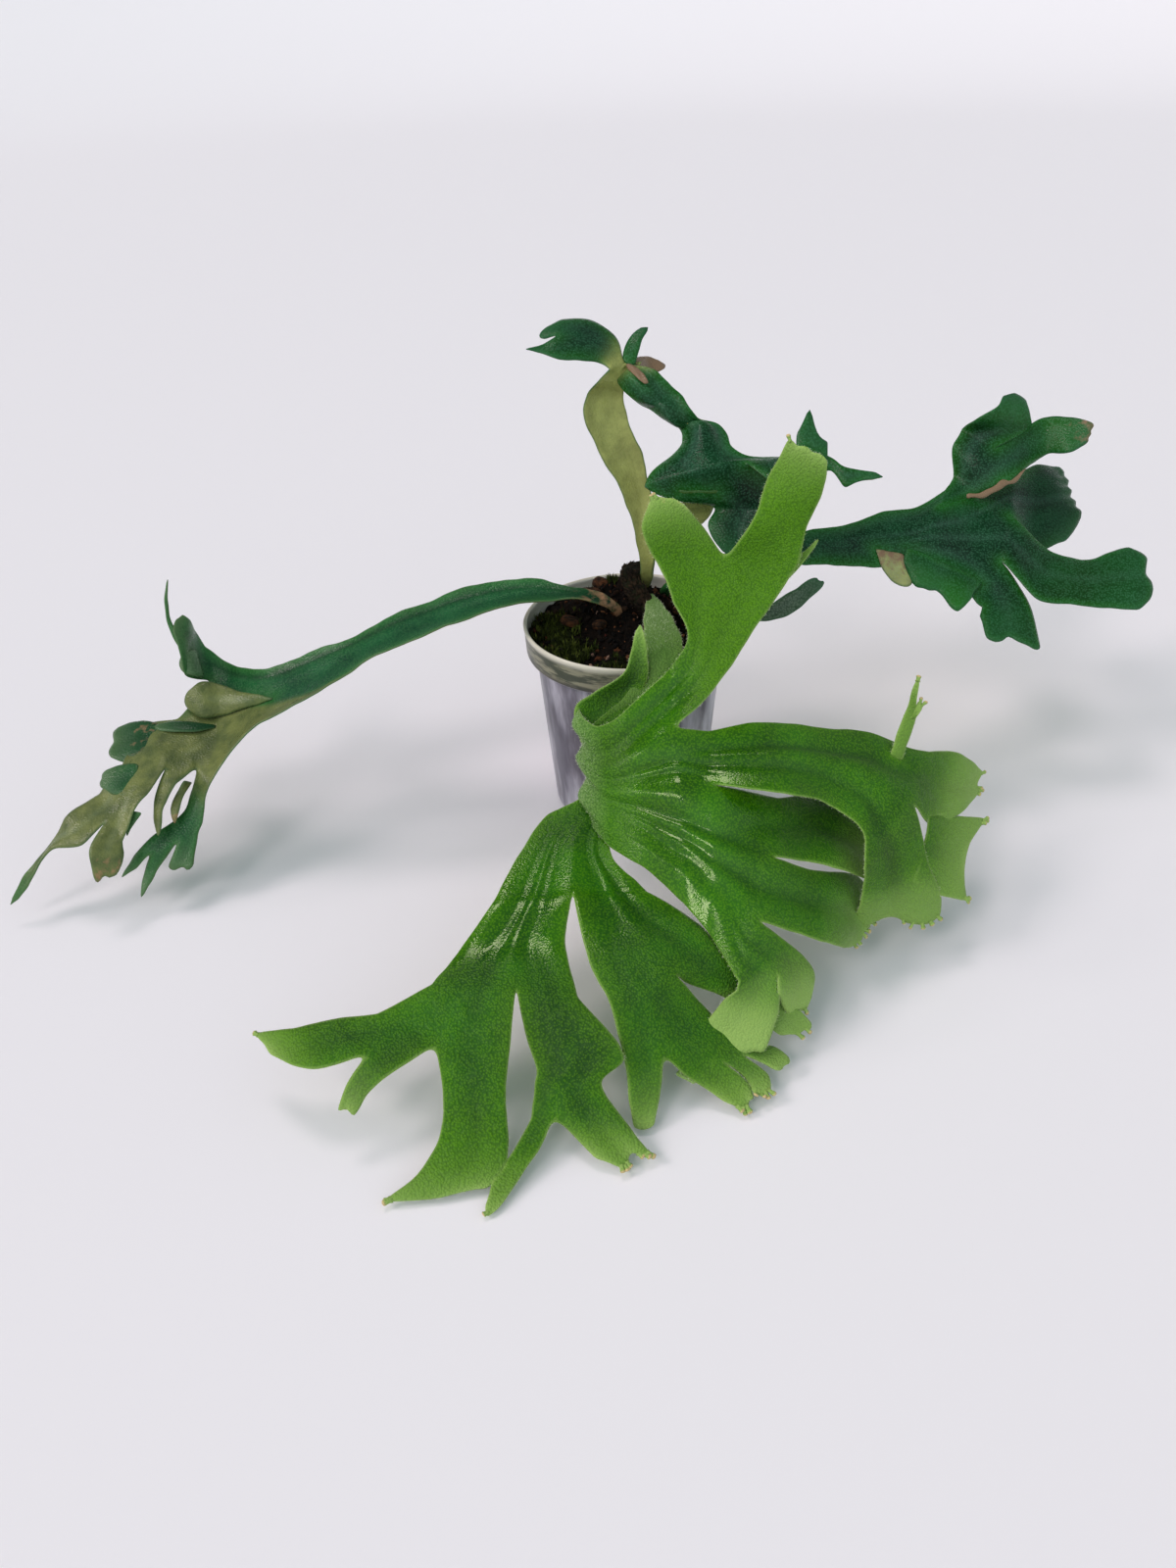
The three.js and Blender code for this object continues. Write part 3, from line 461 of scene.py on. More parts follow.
# Bark chunks. Five pieces of orchid bark bedded in the mound: flat, split along the grain, dark outside
# and orange-brown where they broke. Each is one loose lump that the mix holds.

BARK = [
    [-15, 15, 90.5, 13, 8, 6, 20],
    [-10, 23, 91.5, 9, 6, 5, -30],
    [-12, -3, 85.5, 7, 5, 4, 50],
    [-24, 2, 85, 9, 6, 4, -15],
    [22, 6, 86.5, 8, 6, 4, 70],
]
BARK_LEAN = math.radians(12)
BARK_RINGS = 34
BARK_SIDES = 48
BARK_SQUARENESS = 0.7


def bark_chunk(x, y, z, length, width, thickness, turn):
    """A squared-off ball (its cosines and sines raised to 0.7) with ridges that run along the grain,
    scaled to the chunk's size, leant, turned and put in its spot."""
    down = np.linspace(0, np.pi, BARK_RINGS)[1:-1, None]
    round_it = np.arange(BARK_SIDES) * 2 * np.pi / BARK_SIDES

    def squared(value):
        """The size raised to the squareness, with its sign kept."""
        return np.sign(value) * np.abs(value) ** BARK_SQUARENESS

    across = squared(np.sin(down)) * squared(np.cos(round_it))
    upward = squared(np.sin(down)) * squared(np.sin(round_it))
    onward = squared(np.cos(down)) * np.ones_like(round_it)
    ridge = (0.9 + 0.16 * lumps(round_it * 9 + x, down * 1.5 + y, 1.0)
             + 0.1 * lumps(onward * 6, across * 6, 1.0))
    body = np.stack([onward * length, across * width, upward * thickness], axis=-1) * 0.45 * ridge[..., None]
    points = np.concatenate([body.reshape(-1, 3), [[0.44 * length, 0, 0], [-0.44 * length, 0, 0]]])
    lean = np.array([[math.cos(BARK_LEAN), 0, math.sin(BARK_LEAN)], [0, 1, 0],
                     [-math.sin(BARK_LEAN), 0, math.cos(BARK_LEAN)]])
    a = math.radians(turn)
    about = np.array([[math.cos(a), -math.sin(a), 0], [math.sin(a), math.cos(a), 0], [0, 0, 1]])
    ids = np.arange(len(points) - 2).reshape(-1, BARK_SIDES)
    after = np.roll(ids, -1, axis=1)
    quads = np.stack([ids[:-1], after[:-1], after[1:], ids[1:]], axis=-1).reshape(-1, 4)[:, ::-1]
    first = np.stack([np.full(BARK_SIDES, len(points) - 2), ids[0], after[0]], axis=-1)
    last = np.stack([np.full(BARK_SIDES, len(points) - 1), after[-1], ids[-1]], axis=-1)
    return points @ (about @ lean).T + [x, y, z], [quads, np.concatenate([first, last])[:, ::-1]]


split_bark = earthy("split_bark", 0.85, 0.2, ["1a120c", "4c2e19", "6e4c2f"], (210, 2), (0.42, 0.6),
                    (1500, 3), (0.5, 0.75, 0, 0.7), (0.7, 0.0006), fibres=(0.25, 1, 1))
for number, chunk in enumerate(BARK, 1):
    bark_points, bark_faces = bark_chunk(*chunk)
    piece(f"bark_{number}", bark_points, bark_faces, split_bark, "bark", [f"bark_chunk_{number}"])


# Rhizome. Short creeping stem, half sunk in the mound, from which all fronds rise. It is fleshy and
# knobbly and covered with narrow papery brown scales that overlap like roof tiles.

RHIZOME_PATH = np.array([[9, 36, 84], [6, 32, 92], [2, 24, 95], [2, 15, 95], [5, 7, 93], [9, 0, 90],
                         [12, -6, 87]], float)
RHIZOME_RADII = np.array([2.2, 4, 4.6, 3.8, 4.4, 3.6, 1.6])
RHIZOME_STEPS = 70
RHIZOME_SIDES = 40
SCALES = 420


def along(path, at):
    """Centripetal curve through the rows of path, at the row numbers in at: each stretch is a cubic
    whose slopes at both ends come from its chord and the chords beside it, timed by the square roots
    of their lengths. The path's first and last rows only steer."""
    low = np.clip(np.floor(at).astype(int), 0, len(path) - 4)
    share = (at - low).reshape((-1,) + (1,) * (path.ndim - 1))
    a, b, c, d = (path[low + k] for k in range(4))
    time_ab, time_bc, time_cd = (np.sqrt(np.linalg.norm(q - p, axis=-1, keepdims=True))
                                 for p, q in ((a, b), (b, c), (c, d)))
    time_bc = np.where(time_bc < 1e-2, 1, time_bc)
    time_ab = np.where(time_ab < 1e-2, time_bc, time_ab)
    time_cd = np.where(time_cd < 1e-2, time_bc, time_cd)
    leave = ((b - a) / time_ab - (c - a) / (time_ab + time_bc) + (c - b) / time_bc) * time_bc
    reach = ((c - b) / time_bc - (d - b) / (time_bc + time_cd) + (d - c) / time_cd) * time_bc
    curve = (2 * (b - c) + leave + reach) * share**3 + (3 * (c - b) - 2 * leave - reach) * share**2
    return curve + leave * share + b


def unit(rows):
    """Each row brought to length 1."""
    return rows / np.maximum(np.linalg.norm(rows, axis=-1, keepdims=True), 1e-9)


def ended(path):
    """A path with one more row at each end, as far on as the last stretch."""
    return np.concatenate([2 * path[:1] - path[1:2], path, 2 * path[-1:] - path[-2:-1]])


def brown_scales(name, flesh, scale):
    """Flesh patched with scale brown and flecked with pale brown, for the rhizome and its scales."""
    return earthy(name, 0.9, 0.15, [flesh, scale, "382c1d"], (260, 3), (0.4, 0.62), (1600, 3, 0.7),
                  (0.5, 0.7, 0, 0.6), (0.5, 0.0005))


stem_at = np.linspace(0, len(RHIZOME_PATH) - 1, RHIZOME_STEPS)
stem_line = along(ended(RHIZOME_PATH), stem_at)
stem_way = unit(np.gradient(stem_line, axis=0))
stem_side = unit(np.cross(stem_way, [0, 0, 1]))
stem_up = np.cross(stem_side, stem_way)
stem_turn = np.arange(RHIZOME_SIDES) * 2 * np.pi / RHIZOME_SIDES
knob = np.interp(stem_at, np.arange(len(RHIZOME_RADII)), RHIZOME_RADII)[:, None] * (
    0.94 + 0.07 * np.sin(3 * stem_turn + 2 * stem_at[:, None])
    + 0.05 * np.sin(stem_at[:, None] * 5 + stem_turn))
knob *= np.sqrt(np.clip(np.minimum(stem_at, stem_at[-1] - stem_at) / 0.4, 0.06, 1))[:, None]
skin = (stem_line[:, None] + stem_side[:, None] * (knob * np.cos(stem_turn))[..., None]
        + stem_up[:, None] * (knob * np.sin(stem_turn))[..., None])
stem_ids = np.arange(RHIZOME_STEPS * RHIZOME_SIDES).reshape(RHIZOME_STEPS, RHIZOME_SIDES)
stem_next = np.roll(stem_ids, -1, axis=1)
stem_quads = np.stack([stem_ids[:-1], stem_ids[1:], stem_next[1:], stem_next[:-1]], axis=-1).reshape(-1, 4)
tail, head = RHIZOME_STEPS * RHIZOME_SIDES, RHIZOME_STEPS * RHIZOME_SIDES + 1
stem_caps = np.concatenate([
    np.stack([np.full(RHIZOME_SIDES, tail), stem_ids[0], stem_next[0]], axis=-1),
    np.stack([np.full(RHIZOME_SIDES, head), stem_next[-1], stem_ids[-1]], axis=-1),
])
rhizome_points = np.concatenate([skin.reshape(-1, 3), stem_line[:1], stem_line[-1:]])
piece("rhizome_stem", rhizome_points, [stem_quads, stem_caps],
      brown_scales("rhizome_skin", "0c0b07", "1b200d"), "rhizome", ["rhizome"])

# A scale is a thin leaf-shaped plate: a flat diamond with a raised middle above and below
SCALE_FORM = np.array([[-0.5, 0, 0], [0.1, 0.42, 0.02], [0.1, -0.42, 0.02], [0.9, 0, 0.34], [0.1, 0, 0.16],
                       [0.1, 0, -0.06]])
SCALE_FACES = np.array([[0, 2, 4], [2, 3, 4], [3, 1, 4], [1, 0, 4], [2, 0, 5], [3, 2, 5], [1, 3, 5],
                        [0, 1, 5]])
row = chance.integers(3, RHIZOME_STEPS - 3, SCALES)
column = chance.integers(0, RHIZOME_SIDES, SCALES)
scale_spots = skin[row, column]
scale_up = unit(scale_spots - stem_line[row])
scale_way = unit(-stem_way[row] + 0.35 * chance.normal(size=(SCALES, 3)))
scale_way = unit(scale_way - scale_up * (scale_way * scale_up).sum(1, keepdims=True))
scale_turns = np.stack([scale_way, np.cross(scale_up, scale_way), scale_up], axis=-1)
scale_turns = scale_turns * (1.5 + 1.2 * chance.random((SCALES, 1, 1)))
scale_points, scale_faces = placed_copies(SCALE_FORM, SCALE_FACES, scale_turns, scale_spots)
piece("rhizome_scales", scale_points, [scale_faces], brown_scales("papery_scale", "18120b", "33271a"),
      "rhizome")


# Moss. Short olive and yellow-green moss that has seeded itself on the mix: thickest along the left and
# near rim and in tufts behind the crown. Each shoot is a ring of pointed leaves round a tiny stem.

MOSS_SHOOTS = 1700
MOSS_LEAVES = 7
MOSS_TINTS = ["28330c", "384414", "48551b", "222a0e", "646e2a"]
# Patches as [x, y, spread, weight]
MOSS_PATCHES = np.array([[-31, 2, 12, 1.0], [-26, -20, 12, 0.9], [-4, -34, 11, 0.8], [14, -30, 10, 0.7],
                         [-2, 24, 6, 1.0], [3, 30, 5, 0.9], [17, 25, 4, 0.9], [-12, 32, 6, 0.5],
                         [30, -8, 9, 0.5]])
MOSS_LEAF = np.array([[0, 0.16, 0], [0, -0.16, 0], [0.1, 0, 0.16], [1.0, 0, 0.55]])
MOSS_FACES = np.array([[0, 2, 1], [1, 2, 3], [2, 0, 3], [0, 1, 3]])

trial = chance.random((MOSS_SHOOTS * 12, 2)) * 2 - 1
trial = trial[np.linalg.norm(trial, axis=1) < 0.985] * SOIL_RIM
near = (np.exp(-(((trial[:, None] - MOSS_PATCHES[:, :2]) ** 2).sum(-1) / MOSS_PATCHES[:, 2] ** 2))
        * MOSS_PATCHES[:, 3])
growth = near.max(axis=1) * (0.35 + 1.1 * lumps(trial[:, 0] + 50, trial[:, 1] + 9, 4.0))
shoots = trial[growth > 0.25 + 0.6 * chance.random(len(trial))][:MOSS_SHOOTS]
shoot_height = 0.9 + 1.5 * chance.random(len(shoots))
shoot_spots = np.stack([*shoots.T, SOIL_LEVEL + soil_rise(*shoots.T)], axis=-1)
leaf_turn = chance.random((len(shoots), MOSS_LEAVES)) * 2 * np.pi
leaf_rise = 0.3 + 0.9 * chance.random((len(shoots), MOSS_LEAVES))
out = np.stack([np.cos(leaf_turn) * np.cos(leaf_rise), np.sin(leaf_turn) * np.cos(leaf_rise),
                np.sin(leaf_rise)], -1)
side = np.stack([-np.sin(leaf_turn), np.cos(leaf_turn), np.zeros_like(leaf_turn)], -1)
leaf_turns = np.stack([out, side, np.cross(out, side)], axis=-1) * shoot_height[:, None, None, None]
leaf_lift = chance.random((len(shoots), MOSS_LEAVES, 1)) * shoot_height[:, None, None] * [0, 0, 0.8]
leaf_spots = (shoot_spots[:, None] + leaf_lift).reshape(-1, 3)
moss_points, moss_faces = placed_copies(MOSS_LEAF, MOSS_FACES, leaf_turns.reshape(-1, 3, 3), leaf_spots)
moss_kind = chance.integers(0, len(MOSS_TINTS), len(shoots))
moss_tint = np.array([paint(code) for code in MOSS_TINTS])[moss_kind]
piece("moss", moss_points, [moss_faces], tinted("moss_leaf", 0.7, 0.7), "soil", smooth=False,
      tint=np.repeat(moss_tint, MOSS_LEAVES * len(MOSS_LEAF), axis=0))


# Front frond. The youngest frond, still soft and velvety with fine white hairs. A flat pale stalk comes
# over the near rim and folds over into a wide fan: a lower layer of long lobes that reach the floor and
# an upper palm.

# The fronds were drawn over the photograph. A rib is [left x, left y, left height, right x, right y,
# right height]: two edge points as pixels of the 1200 x 1600 frame, each with its height above the
# floor in millimetres, seen by someone who walks out along the leaf on the face turned to the viewer.
MIDDLE = np.array([600.0, 800.0])
FOCAL = 1155.0
EYE = np.array([-19.4, -424.0, 303.0])
TILT_DOWN = math.radians(35.3)
ROLL = math.radians(-2.2)
AHEAD = np.array([0, math.cos(TILT_DOWN), -math.sin(TILT_DOWN)])
LEVEL = np.array([1.0, 0, 0])
STEEP = np.cross(LEVEL, AHEAD)
ACROSS = LEVEL * math.cos(ROLL) + STEEP * math.sin(ROLL)
UPWARD = STEEP * math.cos(ROLL) - LEVEL * math.sin(ROLL)

BLADE = 0.9
GRAIN = 1.15
VEIN_WIDTH = 2.1
SINUS_ROUNDING = 3.2

# How far a lobe reaches past its last rib, in millimetres, at even steps from its left edge to its right
ROUND_END = [0, 1.9, 2.8, 3, 2.7, 1.9, 0]
FORKED_END = [0, 2.6, 3.5, 2.4, 0.6, 2.6, 4, 3, 0]
POINTED_END = [0, 1.6, 3, 1.6, 0]
FLAT_END = [0, 0.9, 1.2, 0.9, 0]

FAN_TOP = {
    "ribs": [[601, 728, 79, 609, 832, 51], [592, 724, 84, 603, 836, 54], [614, 742, 83, 625, 864, 51],
             [650, 716, 90, 663, 890, 47], [684, 684, 97, 698, 922, 43]],
    # Youth is raised on the palm to lighten it towards the fresh green: partly the paler colour of young
    # downy tissue and partly painted sheen
    "arch": 0.04, "spread": 0.3, "pleat": [2.4, 3.2, 4.8, 5.6, 4.8], "young": [0.35, 0.4, 0.4, 0.25, 0.1],
    "down": [1, 0.9, 0.1, -1, -1], "calm": -0.4, "scallop": 1.7,
    "kids": [
        {"until": 0.28, "arch": -0.05, "young": 0.8, "pleat": [3, 1.4, 0.8, 0.8, 0.8],
         "down": [-0.6, 0, 0, 0, 0],
         "ribs": [[702, 651, 107, 722, 712, 93], [686, 612, 118, 767, 647, 108],
                  [675, 582, 126, 800, 598, 122],
                  [665, 566, 131, 815, 577, 129]],
         "kids": [
             {"until": 0.5, "young": 1, "fade": [0, 0.1, 0.6], "dry": [0, 0, 0.3], "arch": 0.12,
              "ribs": [[655, 540, 140, 716, 536, 140], [663, 511, 149, 700, 516, 148]],
              "end": [0, 1.6, 2.2, 1.8, 2.4, 1.4, 0], "fringe": [0.08, 0.2]},
             {"until": 1, "young": 1, "arch": 0.12, "fade": [0, 0, 0, 0.15],
              "ribs": [[767, 532, 144, 824, 536, 142], [785, 485, 158, 842, 495, 156],
                                   [803, 452, 170, 844, 470, 165]],
              "end": [1.6, 1.8, 0.4, 1.7, 1.9, 0.5, 1.5, 1.2, 0], "fringe": [0.04]}]},
        {"until": 1, "ribs": [[722, 747, 82, 722, 952, 38]], "spread": 0.8, "pleat": [4.8, 3.4],
         "down": [-1, -1],
         "kids": [
             {"until": 0.29, "arch": 0.08, "down": [-1, -0.6, 0], "fade": [0, 0, 0, 0, 0.05, 0.15],
              "ribs": [[771, 739, 81, 793, 811, 71], [842, 745, 76, 842, 822, 64],
                       [890, 750, 71, 878, 850, 57],
                       [924, 764, 64, 880, 873, 52], [945, 768, 60, 879, 888, 48]],
              "kids": [
                  {"until": 0.48, "young": 0.4, "fade": [0.1, 0.4, 0.6, 0.75],
                   "ribs": [[970, 768, 54, 947, 842, 45], [990, 779, 48, 974, 833, 42],
                            [1000, 789, 44, 990, 817, 40]],
                   "end": [1.6, 0.6, 0.2, 1.2, 3.6, 4.2, 2.4, 0.4], "fringe": [0.0, 0.56, 0.68, 0.8]},
                  {"until": 1, "fade": [0.1, 0.2, 0.5, 0.6],
                   "ribs": [[946, 882, 38, 878, 908, 37], [957, 906, 31, 874, 924, 29],
                                        [960, 928, 23, 871, 936, 22]],
                   "end": [2.0, 4.6, 5.4, 4.8, 4.4, 1.8, 0.8, 1.4, 3.0, 4.6, 2.0],
                   "fringe": [0.03, 0.12, 0.22, 0.33, 0.43, 0.91, 0.98]}]},
             {"until": 1, "ribs": [[793, 815, 60, 752, 1002, 31]], "down": [-1, -0.2],
              "kids": [
                  {"until": 0.36, "fade": [0, 0, 0.3, 0.7],
                   "ribs": [[842, 814, 50, 827, 882, 46], [876, 834, 43, 860, 891, 42],
                                           [897, 852, 38, 884, 898, 37]], "end": ROUND_END},
                  {"until": 0.7, "fade": [0, 0, 0.3, 0.6],
                   "ribs": [[827, 889, 43, 813, 954, 35], [872, 896, 31, 846, 965, 27],
                                          [896, 928, 19, 866, 967, 17]],
                   "end": [0, 1.6, 0.8, 2.4, 1.2, 2.6, 1.4, 0], "fringe": [0.2, 0.3, 0.5, 0.6, 0.8, 0.9]},
                  {"until": 1, "young": 0.3, "fade": [0, 0.35], "pleat": [2.6, 1.4],
                   "ribs": [[816, 972, 30, 751, 1010, 29]],
                   "kids": [
                       {"until": 0.42, "young": 0.5, "fade": [0.35, 0.6, 0.8],
                        "ribs": [[830, 992, 24, 793, 1012, 26], [828, 1014, 18, 796, 1024, 20]],
                        "end": [1.4, 5.6, 5.0, 7.0, 4.4, 0.4], "fringe": [0.22, 0.42, 0.62]},
                       {"until": 1, "young": 0.7, "fade": [0.35, 0.6, 0.75, 0.85],
                        "ribs": [[795, 1030, 21, 737, 1021, 25], [790, 1045, 17, 722, 1040, 20],
                                 [785, 1061, 14, 714, 1054, 16]],
                        "end": [5.0, 4.4, 4.6, 6.2, 8.6, 8.2, 3.4, 1.6, 2.0, 5.4, 4.4],
                        "fringe": [0.42, 0.49, 0.56, 0.93, 0.99]}]}]}]}],
}
FAN_HORNED = {
    "ribs": [[946, 832, 49.2, 931, 898, 35.8], [968, 832, 43.8, 950, 911, 30.6],
             [990, 833, 40, 976, 918, 26.6]],
    "young": [0.2, 0.5, 0.6], "fade": [0.1, 0.35, 0.6], "end": [7.4, 4.0, 1.2, 0.6, 0.8, 2.2, 4.6],
              "fringe": [0.0, 0.035, 0.07, 0.97, 1.0],
}
FAN_EAR = {
    "ribs": [[592, 758, 75, 626, 764, 74], [587, 722, 84, 634, 736, 80], [607, 706, 87, 649, 715, 83],
             [635, 688, 92, 661, 690, 90], [644, 664, 98, 661, 668, 97], [649, 644, 104, 657, 646, 104]],
    "arch": -0.12, "young": 0.2, "end": POINTED_END,
}
FAN_STRAP = {
    "ribs": [[907, 772, 66.4, 921, 776, 64.4], [914, 752, 73, 927, 756, 71.4], [924, 726, 82, 935, 729, 81],
             [930, 706, 90, 936, 710, 89], [933, 698, 93, 938, 699, 93]],
    "young": 0.9, "fade": 0.4, "pleat": 0.3, "end": POINTED_END, "fringe": [0.5],
}
FAN_STRAP_KNOB = {
    "ribs": [[929, 732, 80, 933, 735, 79], [934, 722, 84, 938, 727, 83], [937, 716, 86, 941, 722, 84]],
    "young": 0.9, "fade": 0.4, "pleat": 0, "end": FLAT_END, "fringe": [0.3, 0.8],
}
FAN_FINGER = {
    "ribs": [[806, 574, 128, 804, 592, 124], [824, 560, 131, 819, 575, 128], [832, 552, 133, 831, 559, 131]],
    "young": 1, "end": POINTED_END,
}
FAN_BELOW = {
    "ribs": [[669, 620, 82, 663, 620, 82], [667, 609, 91, 662, 608, 91], [679, 621, 95, 658, 625, 94],
             [690, 639, 97, 657, 646, 96], [697, 661, 95.6, 659, 669, 94.4], [695, 692, 88, 640, 708, 84.6],
             [690, 745, 70, 596, 752, 76],
             [665, 800, 57, 601, 806, 61.6], [622, 868, 50, 556, 836, 55], [660, 912, 43, 503, 922, 46]],
    "base": 2.4, "arch": 0.05, "spread": 0.35, "pleat": [0.7, 0.9, 1, 1, 1, 1, 1, 1.4, 2.9, 2.9],
    "young": [0.5, 0.5, 0.4, 0.4, 0.4, 0.4, 0.2, 0.1, 0, 0],
             "under": [0.5, 0.5, 0.4, 0.4, 0.3, 0.3, 0, 0, 0, 0],
    "down": [0, 0.2, 0.4, 0.3, 0.2, 0.1, 0, 0, -0.6, -1],
    "kids": [
        {"until": 0.49, "down": [-1, -0.4, 0], "pleat": [2.9, 2.1, 1.4],
         "ribs": [[702, 936, 39, 600, 980, 40], [745, 975, 33, 622, 1025, 34]],
         "kids": [
             {"until": 0.5, "young": 0.3, "fade": [0, 0, 0.3, 0.7],
              "ribs": [[770, 990, 27, 703, 1004, 29], [796, 1014, 20, 742, 1019, 22],
                       [827, 1042, 11, 796, 1056, 10]],
              "end": [0.6, 3.0, 2.0, 3.2, 1.2, 0.4], "fringe": [0.3, 0.6]},
             {"until": 1, "ribs": [[716, 1025, 23, 632, 1062, 25], [735, 1046, 17, 638, 1090, 17]],
              "kids": [
                  {"until": 0.66, "young": 0.5, "fade": [0, 0.15], "ribs": [[768, 1066, 11, 697, 1096, 12]],
                   "kids": [
                       {"until": 0.26,
                        "ribs": [[790, 1068, 8.5, 776, 1084, 8.5], [803, 1078, 7, 790, 1092, 7]],
                        "end": [0.8, 3, 0.6, 2.4, 0.6], "fade": 0.5},
                       {"until": 0.52,
                        "ribs": [[783, 1096, 6.5, 760, 1100, 6.5], [786, 1109, 5, 768, 1113, 5]],
                        "end": [1, 2.2, 1.4, 2.6, 1.4, 1], "fringe": [0.1, 0.35, 0.6, 0.85]},
                       {"until": 1, "young": 1,
                        "ribs": [[764, 1106, 6, 718, 1110, 7.4], [768, 1120, 4.4, 738, 1123, 4.6]],
                        "end": [0.6, 0.8, 3.6, 4.2, 2.4, 0.4], "fringe": [0.44, 0.58, 0.7]}]},
                  {"until": 1, "young": [0.1, 0.5, 0.8], "fade": [0, 0.1, 0.35],
                   "ribs": [[674, 1112, 11, 642, 1124, 10], [668, 1148, 3, 646, 1150, 3]],
                   "end": FLAT_END}]}]},
        {"until": 1, "down": [-1, -1, 0], "pleat": [2.9, 2.5, 1.6],
         "ribs": [[577, 966, 40, 464, 978, 39], [590, 1018, 34, 441, 1006, 37]],
         "kids": [
             {"until": 0.42,
              "ribs": [[632, 1066, 26, 538, 1062, 26], [637, 1081, 22, 548, 1090, 21],
                       [613, 1104, 17, 545, 1108, 17],
                       [629, 1132, 11, 543, 1140, 11]],
              "kids": [
                  {"until": 0.75, "young": [0.2, 0.7, 1], "fade": [0, 0, 0.2],
                   "ribs": [[644, 1152, 8, 582, 1155, 8], [656, 1168, 5, 607, 1183, 4.4]],
                   "end": [3.6, 4.2, 1.2, 2.6, 6.0, 5.4, 1.6, 0],
                   "fringe": [0.02, 0.1, 0.2, 0.52, 0.6, 0.68]},
                  {"until": 1, "young": [0.2, 0.7, 0.9, 1], "fade": [0, 0.1, 0.25, 0.4],
                   "ribs": [[552, 1170, 7.6, 522, 1177, 7], [530, 1203, 4, 503, 1205, 4],
                                        [508, 1234, 2, 495, 1232, 2]], "end": POINTED_END, "fringe": [0.7]}]},
             {"until": 1, "ribs": [[517, 1104, 21, 386, 1035, 33]],
              "kids": [
                  {"until": 0.53, "young": [0.1, 0.3, 0.6, 0.8, 0.9],
                   "ribs": [[517, 1138, 14, 453, 1124, 17], [519, 1178, 7, 445, 1170, 9],
                            [510, 1200, 4.2, 424, 1201, 5.4], [499, 1212, 3, 399, 1219, 3]],
                   "end": [0.4, 0.4, 1.6, 3.4, 4.0, 4.0, 4.0, 3.8, 2.4], "fringe": [0.93, 1.0]},
                  {"until": 1, "ribs": [[393, 1100, 27, 352, 1039, 31]],
                   "kids": [
                       {"until": 0.35,
                        "ribs": [[374, 1118, 22, 353, 1108, 24], [365, 1131, 19, 347, 1126, 20]],
                        "end": [3.0, 2.2, 0.8, 1.6, 3.0]},
                       {"until": 1, "young": [0.3, 1, 1], "fade": [0, 0.1, 0.2],
                        "ribs": [[318, 1092, 26, 304, 1049, 28], [276, 1076, 23, 271, 1056, 24]],
                        "end": [0, 0.8, 1.6, 3.4, 4.2], "fringe": [0.98]}]}]}]}],
}
FAN_FOLDED = {
    "ribs": [[709, 1106, 8.6, 741, 1069, 13], [702, 1103, 9.6, 722, 1074, 13],
             [692, 1098, 11, 699, 1084, 12.6]],
    "under": 1, "young": 0.6, "fade": 0.5, "pleat": 0, "end": [0.4, 1.6, 0.5, 2.2, 0.8],
}


def placed(points):
    """Points [pixel x, pixel y, height above the floor] as places in millimetres: each is where its
    sight line comes down to its height."""
    points = np.asarray(points, float)
    offset = (points[..., :2] - MIDDLE) / FOCAL
    ray = AHEAD + offset[..., :1] * ACROSS - offset[..., 1:] * UPWARD
    return EYE + ray * ((points[..., 2:] - EYE[2]) / ray[..., 2:])


def smooth(value, low=0.0, high=1.0):
    """A smooth step: 0 up to low, 1 from high, and 3 s squared less 2 s cubed between them."""
    share = np.clip((np.asarray(value, float) - low) / (high - low), 0, 1)
    return share * share * (3 - 2 * share)


def columns(leaf):
    """Where a leaf's columns lie across its width, from 0 at the left edge to 1 at the right. A lobe that
    ends has one for each GRAIN of its widest rib. One that forks has those of its lobes side by side."""
    if "kids" not in leaf:
        ribs = placed(np.reshape(leaf["ribs"], (-1, 2, 3)))
        widest = np.linalg.norm(ribs[:, 0] - ribs[:, 1], axis=1).max()
        return np.linspace(0, 1, max(4, round(widest / GRAIN)) + 1)
    shares = [np.zeros(1)]
    low = 0.0
    for kid in leaf["kids"]:
        shares.append(low + (kid["until"] - low) * columns(kid)[1:])
        low = kid["until"]
    return np.concatenate(shares)


def veins_at_end(leaf):
    """Where the veins stand across a leaf's far end, as shares of its width. Each lobe in which the leaf
    ends has one vein of its own, and all of them run back side by side to the crown."""
    if "kids" not in leaf:
        return np.array([0.5])
    shares = []
    low = 0.0
    for kid in leaf["kids"]:
        at_start = 0.5 + (veins_at_end(kid) - 0.5) * kid.get("spread", 0.5)
        shares.append(low + (kid["until"] - low) * at_start)
        low = kid["until"]
    return np.concatenate(shares)


KEPT_MARKS = ("vein", "young", "under", "dry", "down", "fade")


class Sheet:
    """A frond being laid out: its points, faces and marks, and where its lobes fork and end."""

    def __init__(self, seed):
        self.points, self.faces, self.marks = [], [], []
        self.forks, self.ends = [], []
        self.count = 0
        self.chance = np.random.default_rng(seed)


